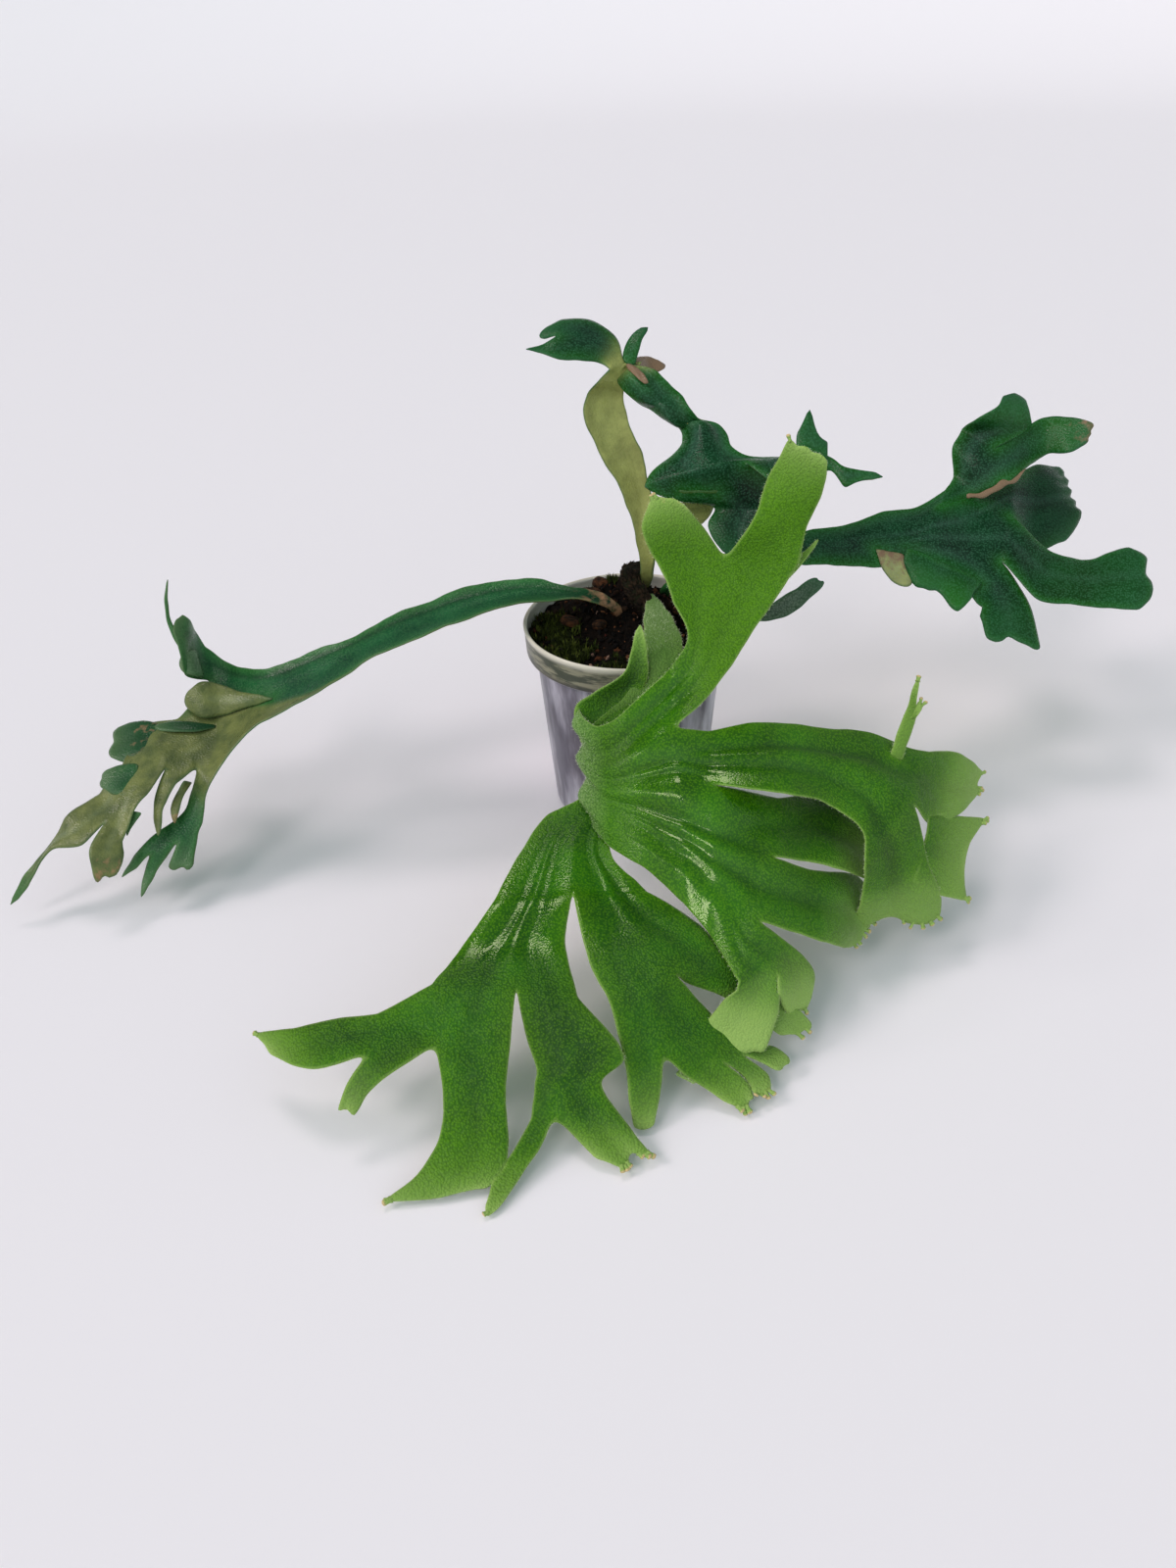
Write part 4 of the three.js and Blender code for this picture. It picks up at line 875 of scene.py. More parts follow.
def relief(leaf, at, share, wide, run, traits, chance):
    """How far a leaf's face stands out from the straight line between its edges, how far its margins
    swing sideways, and how strongly each point is part of a vein. Scallop is the height of three
    knuckles across the leaf at its second rib, where it folds over.

    Arch is a share of the width, as a parabola. Pleat is in millimetres: the blade is low along a vein
    and swells between two of them, and less so where they crowd. Frill is a wave of the margins."""
    hump = 4 * share * (1 - share)
    left, right = (1 - share) ** 4, share**4
    phase = chance.random(6) * 6.3
    nip = [np.sin(run / 2.9 + phase[k]) * 0.55 + np.sin(run / 1.3 + phase[k + 1]) * 0.25 for k in (0, 2)]
    sway = [np.sin(run / 4.6 + phase[k]) for k in (4, 5)]
    swing = traits["wave"] * (nip[0][:, None] * left - nip[1][:, None] * right)
    rise = leaf.get("arch", 0.07) * wide[:, None] * hump
    ridge, height = leaf.get("crease", (0.5, 0))
    rise = rise + height * np.maximum(1 - np.abs(share - ridge) / 0.4, 0) * smooth(wide, 4, 14)[:, None]
    rise = rise + traits["frill"] * (sway[0][:, None] * left + sway[1][:, None] * right)
    knuckles = np.sin(share * 19 - 0.6) * np.exp(-(((at - 0.9) / 0.6) ** 2))[:, None]
    rise = rise + leaf.get("scallop", 0) * knuckles

    spread = leaf.get("spread", 0.5)
    parted = spread + (1 - spread) * smooth(at / at[-1])
    line = 0.5 + (veins_at_end(leaf) - 0.5) * parted[:, None]
    gaps = np.sort(np.abs(share[..., None] - line[:, None]) * wide[:, None, None], axis=-1)
    gap = gaps[..., 0]
    room = wide[:, None] * np.ones_like(share)
    if gaps.shape[-1] > 1:
        room = np.minimum(room, gap + gaps[..., 1])
    calm = smooth(at, leaf.get("calm", -1), leaf.get("calm", -1) + 1)[:, None]
    swell = 1 - np.exp(-((gap / np.clip(0.24 * room, 0.8, 5)) ** 2))
    swell = 0.5 * swell + 0.55 * np.sin(np.pi * np.minimum(gap / room, 0.5))
    eased = np.floor(at) + smooth(at - np.floor(at))
    pleat = np.interp(eased, np.arange(np.size(traits["pleat"])), np.ravel(traits["pleat"]))[:, None]
    rise = rise + calm * pleat * np.minimum(room / 14, 1) * (swell - 0.6)
    vein = 0.6 * np.exp(-((gap / VEIN_WIDTH) ** 2)) + 0.4 * np.exp(-((gap / VEIN_WIDTH * 3) ** 2))
    vein = calm * vein * (0.3 + 0.7 * smooth(room, 2, 9))
    return rise, swing, vein


def lay(sheet, leaf, start=None, above=None):
    """Lays one leaf as rows of points, then the lobes that it forks into. Both edges are curves through
    the ribs, and a row is the straight line between them with its relief. Over the first rib and a half a
    lobe takes over from the leaf that bears it. A trait that is a list goes from rib to rib.
    Returns the length of each column from the first row to its tip."""
    traits = {"pleat": 0.8, "young": 0.0, "under": 0.0, "dry": 0.0, "down": 0.0, "fade": 0.0, "fold": 0.0,
              "wave": 0.35,
              "frill": 0.0, **(above or {})}
    traits.update((key, leaf[key]) for key in traits if key in leaf)
    shares = columns(leaf)
    ribs = placed(np.reshape(leaf["ribs"], (-1, 2, 3)))
    if start:
        ribs = np.concatenate([start["points"][[0, -1]][None], ribs])
    stretch = np.linalg.norm(np.diff(ribs, axis=0), axis=2).max(axis=1)
    steps = np.maximum(2, np.ceil(stretch / GRAIN)).astype(int)
    at = np.concatenate([i + np.arange(n) / n for i, n in enumerate(steps)] + [[len(steps)]])
    path = ended(ribs)
    if start:
        path[0] = start["before"]
    edge = along(path, at)
    grown = smooth(at, 0, 1.5)[:, None] if start else np.ones((len(at), 1))
    middle = edge.mean(axis=1)
    onward = unit(np.gradient(middle, axis=0))
    across = edge[:, 0] - edge[:, 1]
    wide = np.linalg.norm(across, axis=1)
    across = unit(across)
    face = unit(np.cross(onward, across))
    run = np.concatenate([[0], np.cumsum(np.linalg.norm(np.diff(middle, axis=0), axis=1))])
    share = np.tile(shares, (len(at), 1))
    points = edge[:, :1] * (1 - share)[..., None] + edge[:, 1:] * share[..., None]
    rise, swing, vein = relief(leaf, at, share, wide, run, traits, sheet.chance)

    ahead = (run[-1] - run)[:, None] * np.ones_like(share)
    if "kids" not in leaf:
        near = np.maximum(0, at - (len(ribs) - 2))[:, None]
        reach = np.interp(share * (len(leaf["end"]) - 1), np.arange(len(leaf["end"])), leaf["end"])
        points = points + onward[:, None] * (reach * near**2)[..., None]
        ahead = ahead + reach
        ending = 1 - (1 - smooth(ahead, 1, 12)) * grown
        vein = vein * ending
        rise = rise * (0.3 + 0.7 * ending)
    points = points + face[:, None] * (rise * grown)[..., None] + across[:, None] * (swing * grown)[..., None]
    stem = leaf.get("base", 0) * (1 - smooth(at, 1, leaf.get("slim", 3)))[:, None]
    mark = {"vein": vein, "thick": np.maximum(BLADE, stem * (0.55 + 1.8 * share * (1 - share)))}
    traits["pleat"] = float(np.ravel(traits["pleat"])[-1])
    for key in ("young", "under", "dry", "down", "fade", "fold"):
        own = np.interp(at, np.arange(len(traits[key])), traits[key]) if np.ndim(traits[key]) else traits[key]
        mark[key] = np.broadcast_to(np.reshape(own, (-1, 1)), share.shape)
        traits[key] = float(np.ravel(own)[-1])
    mark["under"] = np.maximum(mark["under"], smooth(mark.pop("fold") - share, 0, 0.06))
    traits["fold"] = 0.0
    if start:
        points = points + start["bulge"][None] * (1 - grown)[..., None]
        for key in KEPT_MARKS:
            mark[key] = start[key][None] * (1 - grown) + mark[key] * grown

    first = 1 if start else 0
    ids = sheet.count + np.arange((len(at) - first) * len(shares)).reshape(-1, len(shares))
    sheet.count += ids.size
    sheet.points.append(points[first:].reshape(-1, 3))
    kept = {key: value[first:].ravel() for key, value in mark.items()}
    sheet.marks.append(kept)
    if start:
        ids = np.concatenate([start["ids"][None], ids])
    sheet.faces.append(np.stack([ids[:-1, :-1], ids[:-1, 1:], ids[1:, 1:], ids[1:, :-1]], axis=-1).reshape(-1,
                                                                                                           4))

    if "kids" not in leaf:
        sheet.ends.append({"ids": ids[-1], "way": onward[-1], "face": face[-1],
                           "fringe": leaf.get("fringe", [])})
    else:
        tips = []
        held = slice(0, 1)
        low = 0.0
        for kid in leaf["kids"]:
            held = slice(held.stop - 1, held.stop - 1 + len(columns(kid)))
            given = {key: mark[key][-1, held] for key in KEPT_MARKS}
            given["ids"] = ids[-1, held]
            given["points"] = points[-1, held]
            given["before"] = edge[-2, :1] + (edge[-2, 1:] - edge[-2, :1]) * np.array([[low], [kid["until"]]])
            flat = given["points"][:1] + (given["points"][-1:] - given["points"][:1]) * columns(kid)[:, None]
            given["bulge"] = given["points"] - flat
            low = kid["until"]
            tips.append(lay(sheet, kid, given, traits))
            if low < 1:
                sheet.forks.append(ids[-1, held][-1])
        ahead = ahead + np.concatenate([tips[0]] + [tip[1:] for tip in tips[1:]])
    kept["ahead"] = ahead[first:].ravel()
    return ahead[0]


# Rounds of softening and the share that a point moves in each: near a cleft, in the blade, on a margin
CLEFT_TURNS, CLEFT_PULL = 26, 0.75
BLADE_TURNS, BLADE_PULL = 16, 0.45
MARGIN_TURNS, MARGIN_PULL = 4, 0.2


def softened(values, faces, forks):
    """Rounds the clefts between lobes and evens the rows. The first three columns of values are places,
    and marks follow. Each point moves again and again a share of the way to the mean of its neighbours,
    and a margin point only to that of its margin neighbours. The share is large near a fork."""
    edges, lone = edges_of([faces])
    pairs = np.unique(np.sort(edges, axis=1), axis=0)
    rim = edges[lone]
    on_rim = np.zeros(len(values), bool)
    on_rim[rim] = True

    def mean_of(ends, at):
        """At each point, the mean of the points that its edges lead to."""
        both = np.concatenate([ends, ends[:, ::-1]])
        count = np.maximum(np.bincount(both[:, 0], minlength=len(at)), 1)
        total = [np.bincount(both[:, 0], at[both[:, 1], axis], len(at)) for axis in range(at.shape[1])]
        return np.stack(total, axis=-1) / count[:, None]

    pull = np.zeros(len(values))
    if forks:
        pull = np.exp(-((margin_distance(values[:, :3], np.array(forks)) / SINUS_ROUNDING) ** 2))
    for turn in range(CLEFT_TURNS):
        evened = np.where(on_rim, MARGIN_PULL * (turn < MARGIN_TURNS), BLADE_PULL * (turn < BLADE_TURNS))
        share = np.maximum(CLEFT_PULL * pull, evened)[:, None]
        goal = np.where(on_rim[:, None], mean_of(rim, values), mean_of(pairs, values))
        values = values + share * (goal - values)
    return values


# A finger of the fringe runs along X: a flattened club, narrow at its foot, that turns up at its head
FINGER_SIDES = 6
finger_along = np.array([0, 0.3, 0.55, 0.78, 0.93])
finger_radius = np.array([0.5, 0.36, 0.4, 0.5, 0.36])
finger_turn = np.arange(FINGER_SIDES) * 2 * np.pi / FINGER_SIDES
FINGER = np.stack([
    np.repeat(finger_along[:, None], FINGER_SIDES, axis=1),
    finger_radius[:, None] * np.cos(finger_turn),
    0.65 * finger_radius[:, None] * np.sin(finger_turn) + 0.3 * finger_along[:, None] ** 2,
], axis=-1).reshape(-1, 3)
FINGER = np.concatenate([FINGER, [[1.0, 0, 0.3], [0, 0, 0]]])
finger_ids = np.arange(len(FINGER) - 2).reshape(-1, FINGER_SIDES)
finger_next = np.roll(finger_ids, -1, axis=1)
FINGER_QUADS = np.stack([finger_ids[:-1], finger_next[:-1], finger_next[1:], finger_ids[1:]], -1).reshape(-1,
                                                                                                          4)
FINGER_CAPS = np.concatenate([
    np.stack([np.full(FINGER_SIDES, len(FINGER) - 2), finger_ids[-1], finger_next[-1]], axis=-1),
    np.stack([np.full(FINGER_SIDES, len(FINGER) - 1), finger_next[0], finger_ids[0]], axis=-1),
])
FINGER_SUNK = 0.9
FINGER_PALENESS = 0.9
FINGER_RIM = 0.3
FINGER_YOUTH = 0.6


def fringe_of(sheet, points):
    """The little knobbed fingers at the ends of lobes: each starts inside the margin and leans out to
    its own side. Returns their turns (length, width and thickness along their columns) and spots."""
    turns, spots = [np.zeros((0, 3, 3))], [np.zeros((0, 3))]
    for end in sheet.ends:
        share = np.clip(np.array(end["fringe"], float), 0.02, 0.98)
        if not len(share):
            continue
        row = points[end["ids"]]
        at = share * (len(row) - 1)
        low = np.minimum(at.astype(int), len(row) - 2)
        spot = row[low] + (row[low + 1] - row[low]) * (at - low)[:, None]
        side = unit(row[-1] - row[0])
        lean = (share - 0.5) * 1.1 + 0.3 * sheet.chance.normal(size=len(share))
        way = (end["way"] + side * lean[:, None]
               + end["face"] * 0.3 * sheet.chance.normal(size=(len(share), 1)))
        way = unit(way)
        lateral = unit(np.cross(end["face"][None], way))
        length = 2.0 + 1.4 * sheet.chance.random((len(share), 1))
        width = 1.5 + 0.7 * sheet.chance.random((len(share), 1))
        turns.append(np.stack([way * length, lateral * width, np.cross(way, lateral) * width], axis=-1))
        spots.append(spot - way * FINGER_SUNK)
    return np.concatenate(turns), np.concatenate(spots)


def frond(name, leaves, seed, finish, nodes=()):
    """Lays out the leaves of a frond, softens them, gives them their thickness and their fringe, and
    marks every point for the finish. Mark 'leaf' is vein, nearness to the tip, nearness to the margin
    and underside. Mark 'age' is youth, dryness, wide nearness to the margin, and down. Returns what the
    hairs grow on: the middle of the blade, its margin edges, its normals and its down."""
    sheet = Sheet(seed)
    for leaf in leaves:
        lay(sheet, leaf)
    faces = np.concatenate(sheet.faces)
    keys = (*KEPT_MARKS, "thick", "ahead")
    marks = np.stack([np.concatenate([m[key] for m in sheet.marks]) for key in keys], axis=-1)
    values = softened(np.concatenate([np.concatenate(sheet.points), marks], axis=1), faces, sheet.forks)
    middle = values[:, :3]
    vein, young, under, dry, down, fade, thick, ahead = values[:, 3:].T
    points, face_sets, inside = thickened(middle, [faces], thick)
    tip = np.maximum(0.45 * np.exp(-ahead / 14) + 0.55 * np.exp(-ahead / 3.5), fade)
    rim = np.exp(-inside / 0.6)
    glow = np.exp(-inside / 4.5)
    upper = np.stack([vein, tip, rim, under], axis=-1)
    lower = np.stack([0.6 * vein, tip, rim, 1 - under], axis=-1)
    age = np.stack([young, dry, glow, down], axis=-1)
    turns, spots = fringe_of(sheet, middle)
    extra, extra_quads = placed_copies(FINGER, FINGER_QUADS, turns, spots)
    _, extra_caps = placed_copies(FINGER, FINGER_CAPS, turns, spots)
    head = np.tile(FINGER[:, :1], (len(spots), 1))
    extra_leaf = np.concatenate([0 * head, FINGER_PALENESS + 0 * head, FINGER_RIM + 0 * head, 0 * head],
                                axis=1)
    extra_age = np.concatenate([FINGER_YOUTH + 0 * head, head**3, 1 + 0 * head, 0 * head], axis=1)
    quads = np.concatenate(face_sets + [extra_quads + len(points)])
    piece(name, np.concatenate([points, extra]), [quads, extra_caps + len(points)], finish[0], finish[1],
          nodes,
          leaf=np.concatenate([upper, lower, extra_leaf]), age=np.concatenate([age, age, extra_age]))
    edges, lone = edges_of([faces])
    return middle, edges[lone], normals_of(middle, [faces]), down


def leaf_skin(name, gloss, bare_gloss, shine, grain, relief, scurf_share, vein_share, mottling, **tones):
    """Leathery leaf skin. The green is deepened in broad patches, freshened where the leaf is young and
    towards its margins, darkened along the veins, paler towards tips and edges, and brown where it has
    dried. Fine down or scurf is a close net of light dots, whose grain breaks up the shine. Mark down
    goes from 1, thick grey down, to -1, bare skin whose roughness is bare_gloss."""
    made, tree, shader = finish_of(name, Specular_IOR_Level=shine)
    tone = {key: paint(code) for key, code in tones.items()}
    mark = node(tree, "Attribute", attribute_name="leaf")
    marks = node(tree, "SeparateColor", {"Color": mark.outputs["Color"]})
    second = node(tree, "Attribute", attribute_name="age")
    age = node(tree, "SeparateColor", {"Color": second.outputs["Color"]})
    vein, tip, rim = (marks.outputs[k] for k in range(3))
    young, dried, glow = (age.outputs[k] for k in range(3))
    spot = stretched(tree, (1, 1, 1))
    broad = noise(tree, spot, 48, 2)
    cells = node(tree, "TexVoronoi", {"Vector": spot, "Scale": grain}).outputs["Distance"]
    fine = noise(tree, spot, 330, 3)
    under = mark.outputs["Alpha"]
    down = second.outputs["Alpha"]
    colour = blend(tree, ramp(tree, broad, 0.35, 0.68, 0, 0.75), tone["green"], tone["deep"])
    fresh = node(tree, "Math", {0: ramp(tree, glow, 0.15, 0.9, 0, 0.5), 1: young},
                 operation="MAXIMUM").outputs[0]
    colour = blend(tree, fresh, colour, tone["fresh"])
    colour = blend(tree, ramp(tree, cells, 0.6, 0.1, 0, scurf_share), colour, tone["scurf"])
    colour = blend(tree, ramp(tree, cells, 0.45, 0.8, 0, 0.5 * scurf_share), colour, tone["deep"])
    # Youth below zero darkens the green towards the deep tone; on the right frond's lower lobe this is
    # painted shade from the lobe above it
    colour = blend(tree, ramp(tree, young, -1, 0, 0.95, 0), colour, tone["deep"])
    halo = node(tree, "Math", {0: vein, 1: ramp(tree, fine, 0.3, 0.7, 0.8, 1.1)},
                operation="MULTIPLY").outputs[0]
    halo = node(tree, "Math", {0: halo, 1: ramp(tree, young, 0, 1, 1, 0.25)}, operation="MULTIPLY").outputs[0]
    colour = blend(tree, ramp(tree, halo, 0.05, 0.9, 0, vein_share), colour, tone["channel"])
    colour = blend(tree, ramp(tree, tip, 0.1, 0.85, 0, 0.92), colour, tone["pale"])
    mottle = noise(tree, spot, 130, 4, 0.6)
    beneath = blend(tree, ramp(tree, mottle, 0.38, 0.66, 0, mottling), tone["under"], tone["deep"])
    colour = blend(tree, under, colour, beneath)
    ribbed = node(tree, "Math", {0: vein, 1: under}, operation="MULTIPLY").outputs[0]
    colour = blend(tree, ramp(tree, ribbed, 0.3, 1, 0, 0.5), colour, tone["down"])
    frosted = ramp(tree, cells, 0.75, 0.2, 0.3, 0.85)
    frosted = node(tree, "Math", {0: frosted, 1: ramp(tree, down, 0, 1)}, operation="MULTIPLY").outputs[0]
    colour = blend(tree, frosted, colour, tone["down"])
    colour = blend(tree, ramp(tree, rim, 0.3, 1, 0, 0.6), colour, tone["pale"])
    patchy = node(tree, "Math", {0: fine, 1: dried}, operation="ADD").outputs[0]
    colour = blend(tree, ramp(tree, patchy, 0.8, 1.1), colour, tone["dry"])
    tree.links.new(colour, shader.inputs["Base Color"])
    dull = ramp(tree, fine, 0, 1, -0.3, 0.3)
    dull = node(tree, "Math", {0: dull, 1: ramp(tree, down, -1, 0, bare_gloss, gloss)},
                operation="ADD").outputs[0]
    tree.links.new(dull, shader.inputs["Roughness"])
    depth = ramp(tree, down, -1, 0, 0.12 * relief, relief)
    grained = node(tree, "Bump", {"Height": cells, "Strength": depth, "Distance": 0.0005}, invert=True)
    tree.links.new(grained.outputs["Normal"], shader.inputs["Normal"])
    return made, shader


young_skin, young_shader = leaf_skin(
    "young_velvet", gloss=0.68, bare_gloss=0.15, shine=0.55, grain=1300, relief=0.8, scurf_share=0.46,
    vein_share=0.6, mottling=0.15, green="2d6e04", deep="0f3e04", fresh="4e8002", channel="173c1e",
    pale="9ab866", under="7c9a58", dry="cfb98b", scurf="6a9e0a", down="8fa873")
young_shader.inputs["Specular Tint"].default_value = (0.85, 1.0, 0.65, 1)
young_shader.inputs["Sheen Weight"].default_value = 0.03
young_shader.inputs["Sheen Roughness"].default_value = 0.4
young = (young_skin, "young_leaf")
hairy = [
    frond("front_frond_palm", [FAN_TOP, FAN_HORNED, FAN_EAR, FAN_STRAP, FAN_STRAP_KNOB, FAN_FINGER], 3, young,
          ["front_frond"]),
    frond("front_frond_below", [FAN_BELOW, FAN_FOLDED], 4, young, ["front_frond"]),
]

# White hairs stand out from the margins and close together on the fold: thin pointed needles of three sides
HAIR_STEP = 1.3
HAIR_LENGTH = 0.75
HAIR_RADIUS = 0.05
HAIR_LOWEST = 1.2
FOLD_HAIRS = 1500
HAIR = np.array([[0, 1, 0], [0, -0.5, 0.87], [0, -0.5, -0.87], [1, 0, 0]])
HAIR_FACES = np.array([[0, 1, 3], [1, 2, 3], [2, 0, 3], [0, 2, 1]])


def hairs_of(middle, rim, normal, down, chance):
    """Where the hairs of a frond stand and which way they point: out over the margins, spaced by their
    length, and up from both faces where the down is thick."""
    step = middle[rim[:, 1]] - middle[rim[:, 0]]
    long = np.linalg.norm(step, axis=1)
    picked = chance.choice(len(rim), int(long.sum() * HAIR_STEP), p=long / long.sum())
    spots = middle[rim[picked, 0]] + step[picked] * chance.random((len(picked), 1))
    ways = unit(np.cross(step[picked], normal[rim[picked, 0]]) / long[picked, None]
                + 0.45 * chance.normal(size=spots.shape))
    downy = np.flatnonzero(down > 0.2)
    if len(downy):
        held = chance.choice(downy, FOLD_HAIRS, p=down[downy] / down[downy].sum())
        side = np.where(chance.random((FOLD_HAIRS, 1)) < 0.5, 1, -1)
        spots = np.concatenate([spots, middle[held] + 0.4 * side * normal[held]])
        ways = np.concatenate([ways, unit(side * normal[held] + 0.4 * chance.normal(size=(FOLD_HAIRS, 3)))])
    return spots, ways


def needles(name, spots, ways, finish, slot, chance):
    """One thin needle for each spot that is clear of the floor, along its way and of random length."""
    high = spots[:, 2] > HAIR_LOWEST
    spots, ways = spots[high], ways[high]
    side = unit(np.cross(ways, [0.3, 0.2, 1]))
    length = HAIR_LENGTH * (0.6 + 0.8 * chance.random((len(ways), 1)))
    turns = np.stack([ways * length, side * HAIR_RADIUS, np.cross(ways, side) * HAIR_RADIUS], axis=-1)
    points, faces = placed_copies(HAIR, HAIR_FACES, turns, spots)
    piece(name, points, [faces], finish, slot, smooth=False)


hair_chance = np.random.default_rng(21)
stands = [hairs_of(*part, hair_chance) for part in hairy]
hair_finish, _, _ = finish_of("white_hair", Base_Color=paint("d9e0c4"), Roughness=0.6)
needles("front_frond_hairs", np.concatenate([s[0] for s in stands]), np.concatenate([s[1] for s in stands]),
        hair_finish, "young_leaf", hair_chance)


# Left frond. An older frond on a thin dark stipe: a long narrow leathery blade that runs out over the
# left rim and ends in a crest of drooping, twisted lobes that show their olive-grey undersides.

LEFT_FROND = {
    "ribs": [[630, 638, 78, 638, 638, 78], [627, 626, 88, 635, 622, 89], [612, 616, 95, 618, 607, 96],
             [592, 612, 98, 595, 601, 99], [560, 613, 99, 562, 594, 101], [531, 616, 100, 538, 591, 102],
             [481, 630, 99, 490, 596, 102], [448, 643, 96, 442, 612, 98], [415, 656, 92, 408, 625, 94],
             [372, 676, 85, 359, 650, 87], [332, 703, 77, 310, 668, 79], [285, 728, 68, 268, 683, 71],
             [245, 755, 58, 229, 674, 68], [225, 783, 50, 210, 661, 72.4]],
    "young": [-1, -1, -1, -0.7, -0.3, 0], "dry": [0.5, 0.5, 0.45, 0.3, 0], "base": 2.2, "slim": 4,
              "arch": -0.1, "wave": 0.6, "frill": 0.4,
    "fold": [0] * 10 + [0.06, 0.33, 0.55, 0.72],
    "kids": [
        {"until": 0.78, "under": 1, "ribs": [[214, 802, 44, 182, 733, 56]],
         "kids": [
             {"until": 0.28, "under": [1, 0.3, 0, 0], "pleat": 1.2,
              "ribs": [[209, 818, 38, 196, 806, 40], [206, 841, 31, 185, 832, 33],
                       [201, 861, 25, 161, 850, 29]],
              "kids": [
                  {"until": 0.42, "dry": [0, 0.25, 0.6], "ribs": [[198, 880, 20, 172, 884, 19]],
                   "end": [1.6, 4.4, 1.2, 0.8, 2.6, 1.8, 0.4]},
                  {"until": 1, "ribs": [[172, 872, 23, 143, 865, 26]],
                   "kids": [
                       {"until": 0.55, "ribs": [[158, 892, 17, 149, 884, 19], [148, 911, 12, 144, 909, 12]],
                        "end": POINTED_END},
                       {"until": 1, "ribs": [[140, 884, 20, 135, 876, 22], [129, 893, 16, 126, 890, 17]],
                        "end": POINTED_END}]}]},
             {"until": 1, "ribs": [[180, 799, 47, 152, 738, 55]], "frill": 0.9, "pleat": 1.6,
              "kids": [
                  {"until": 0.24, "ribs": [[167, 824, 40, 157, 822, 40], [164, 848, 33, 159, 848, 33]],
                   "end": POINTED_END},
                  {"until": 1, "ribs": [[152, 812, 45, 137, 764, 50]],
                   "kids": [
                       {"until": 0.7, "ribs": [[139, 826, 42, 120, 789, 46], [124, 858, 34, 104, 812, 40]],
                        "kids": [
                            {"until": 0.42, "dry": [0, 0.2, 0.35],
                             "ribs": [[126, 872, 30, 92, 868, 33], [122, 888, 25, 95, 893, 25]],
                             "end": [0.4, 2.6, 1.4, 3.0, 1.0, 0.6, 3.6, 3.8, 1.0]},
                            {"until": 1, "under": [1, 1, 1, 0.4, 0],
                             "ribs": [[86, 862, 32, 74, 830, 37], [52, 868, 28, 60, 850, 30],
                                                  [34, 898, 19, 30, 889, 20], [17, 918, 11, 12, 918, 11]],
                             "end": POINTED_END}]},
                       {"until": 1, "ribs": [[124, 788, 48, 128, 772, 50]], "end": FLAT_END}]}]}]},
        {"until": 1, "ribs": [[189, 690, 70, 199, 643, 80], [184, 668, 79, 191, 631, 89],
                              [176, 644, 88, 186, 627, 91]], "end": [0, 1.2, 1.4, 0.6, 0]}],
}
LEFT_TENDRIL = {
    "ribs": [[192, 676, 74, 196, 666, 76], [180, 656, 83, 184, 650, 85], [170, 634, 91, 174, 631, 92],
             [168, 612, 100, 171, 612, 100], [170, 594, 106, 172, 594, 106]],
    "end": [0, 0.8, 1.6, 0.8, 0], "pleat": 0, "fade": 0.3,
}
LEFT_BUMP_HIGH = {
    "ribs": [[152, 776, 50.3, 166, 741, 54.2], [138, 779, 49, 146, 737, 54.8], [125, 778, 47.8, 134, 737, 55],
             [114, 773, 48.4, 122, 742, 53.4]],
    "end": [0.6, 2.0, 1.4, 0.6, 1.8, 2.4, 0.8], "frill": 1.0, "young": -0.7, "dry": [0.3, 0.3, 0, 0],
}
LEFT_BUMP_LOW = {
    "ribs": [[134, 812, 43.8, 144, 780, 49.8], [122, 812, 43.2, 131, 780, 49],
             [111, 809, 42.2, 118, 782, 48.4],
             [104, 804, 42.6, 109, 786, 47]],
    "end": [0.6, 1.8, 1.2, 1.8, 0.6], "frill": 0.8, "young": -0.5,
}
LEFT_SLIVER = {
    "ribs": [[220, 743, 52.8, 220, 740, 53.4], [202, 746, 54.4, 201, 737, 55.6],
             [180, 747, 55.4, 179, 736, 56.8],
             [163, 746, 55, 162, 738, 56]],
    "end": POINTED_END, "young": -0.8, "pleat": 0,
}
LEFT_FLAP = {
    "ribs": [[208, 692, 66, 198, 662, 76.4], [196, 690, 69.4, 188, 666, 78.6],
             [188, 687, 71.4, 184, 672, 76]],
    "end": FLAT_END, "down": 0.3,
}
LEFT_FOLD = {
    "ribs": [[278, 714, 66, 278, 712, 66.4], [262, 719, 62.4, 264, 709, 66], [244, 725, 58.6, 244, 705, 64.4],
             [224, 731, 55.6, 222, 698, 65.6], [206, 733, 56.4, 205, 695, 68], [195, 726, 58, 196, 702, 66]],
    "end": ROUND_END, "under": [0.4, 0.8, 1, 1, 1, 1], "arch": 0.16, "young": -0.4,
}
LEFT_CURL = {
    "ribs": [[196, 798, 42.3, 187, 796, 46.9], [187, 814, 40.5, 179, 812, 41], [182, 828, 37, 174, 828, 37],
             [181, 834, 35, 175, 835, 35]],
    "end": POINTED_END, "under": 1, "dry": [0, 0, 0.3, 0.6],
}
LEFT_POINT = {
    "ribs": [[145, 829, 41, 128, 826, 41], [139, 838, 37, 127, 838, 37], [133, 847, 34, 129, 847, 34]],
    "end": POINTED_END,
}
old_skin, _ = leaf_skin(
    "old_leather", gloss=0.32, bare_gloss=0.22, shine=0.25, grain=1200, relief=0.25, scurf_share=0.25,
    vein_share=0.6, mottling=0.5, green="22623a", deep="0b3522", fresh="45803a", channel="0c2a1c",
    pale="5b7650", under="747c4a", dry="a67f62", scurf="5f9a5e", down="8d9c86")
old = (old_skin, "old_leaf")
frond("left_frond_blade",
      [LEFT_FROND, LEFT_TENDRIL, LEFT_SLIVER, LEFT_BUMP_HIGH, LEFT_BUMP_LOW, LEFT_FLAP, LEFT_FOLD, LEFT_CURL,
                            LEFT_POINT], 5, old, ["left_frond"])


# Back frond. A stiff frond that rises behind the crown with its olive underside to the front, bends over
# at the top and hangs forward in dark blue-green twisted lobes.

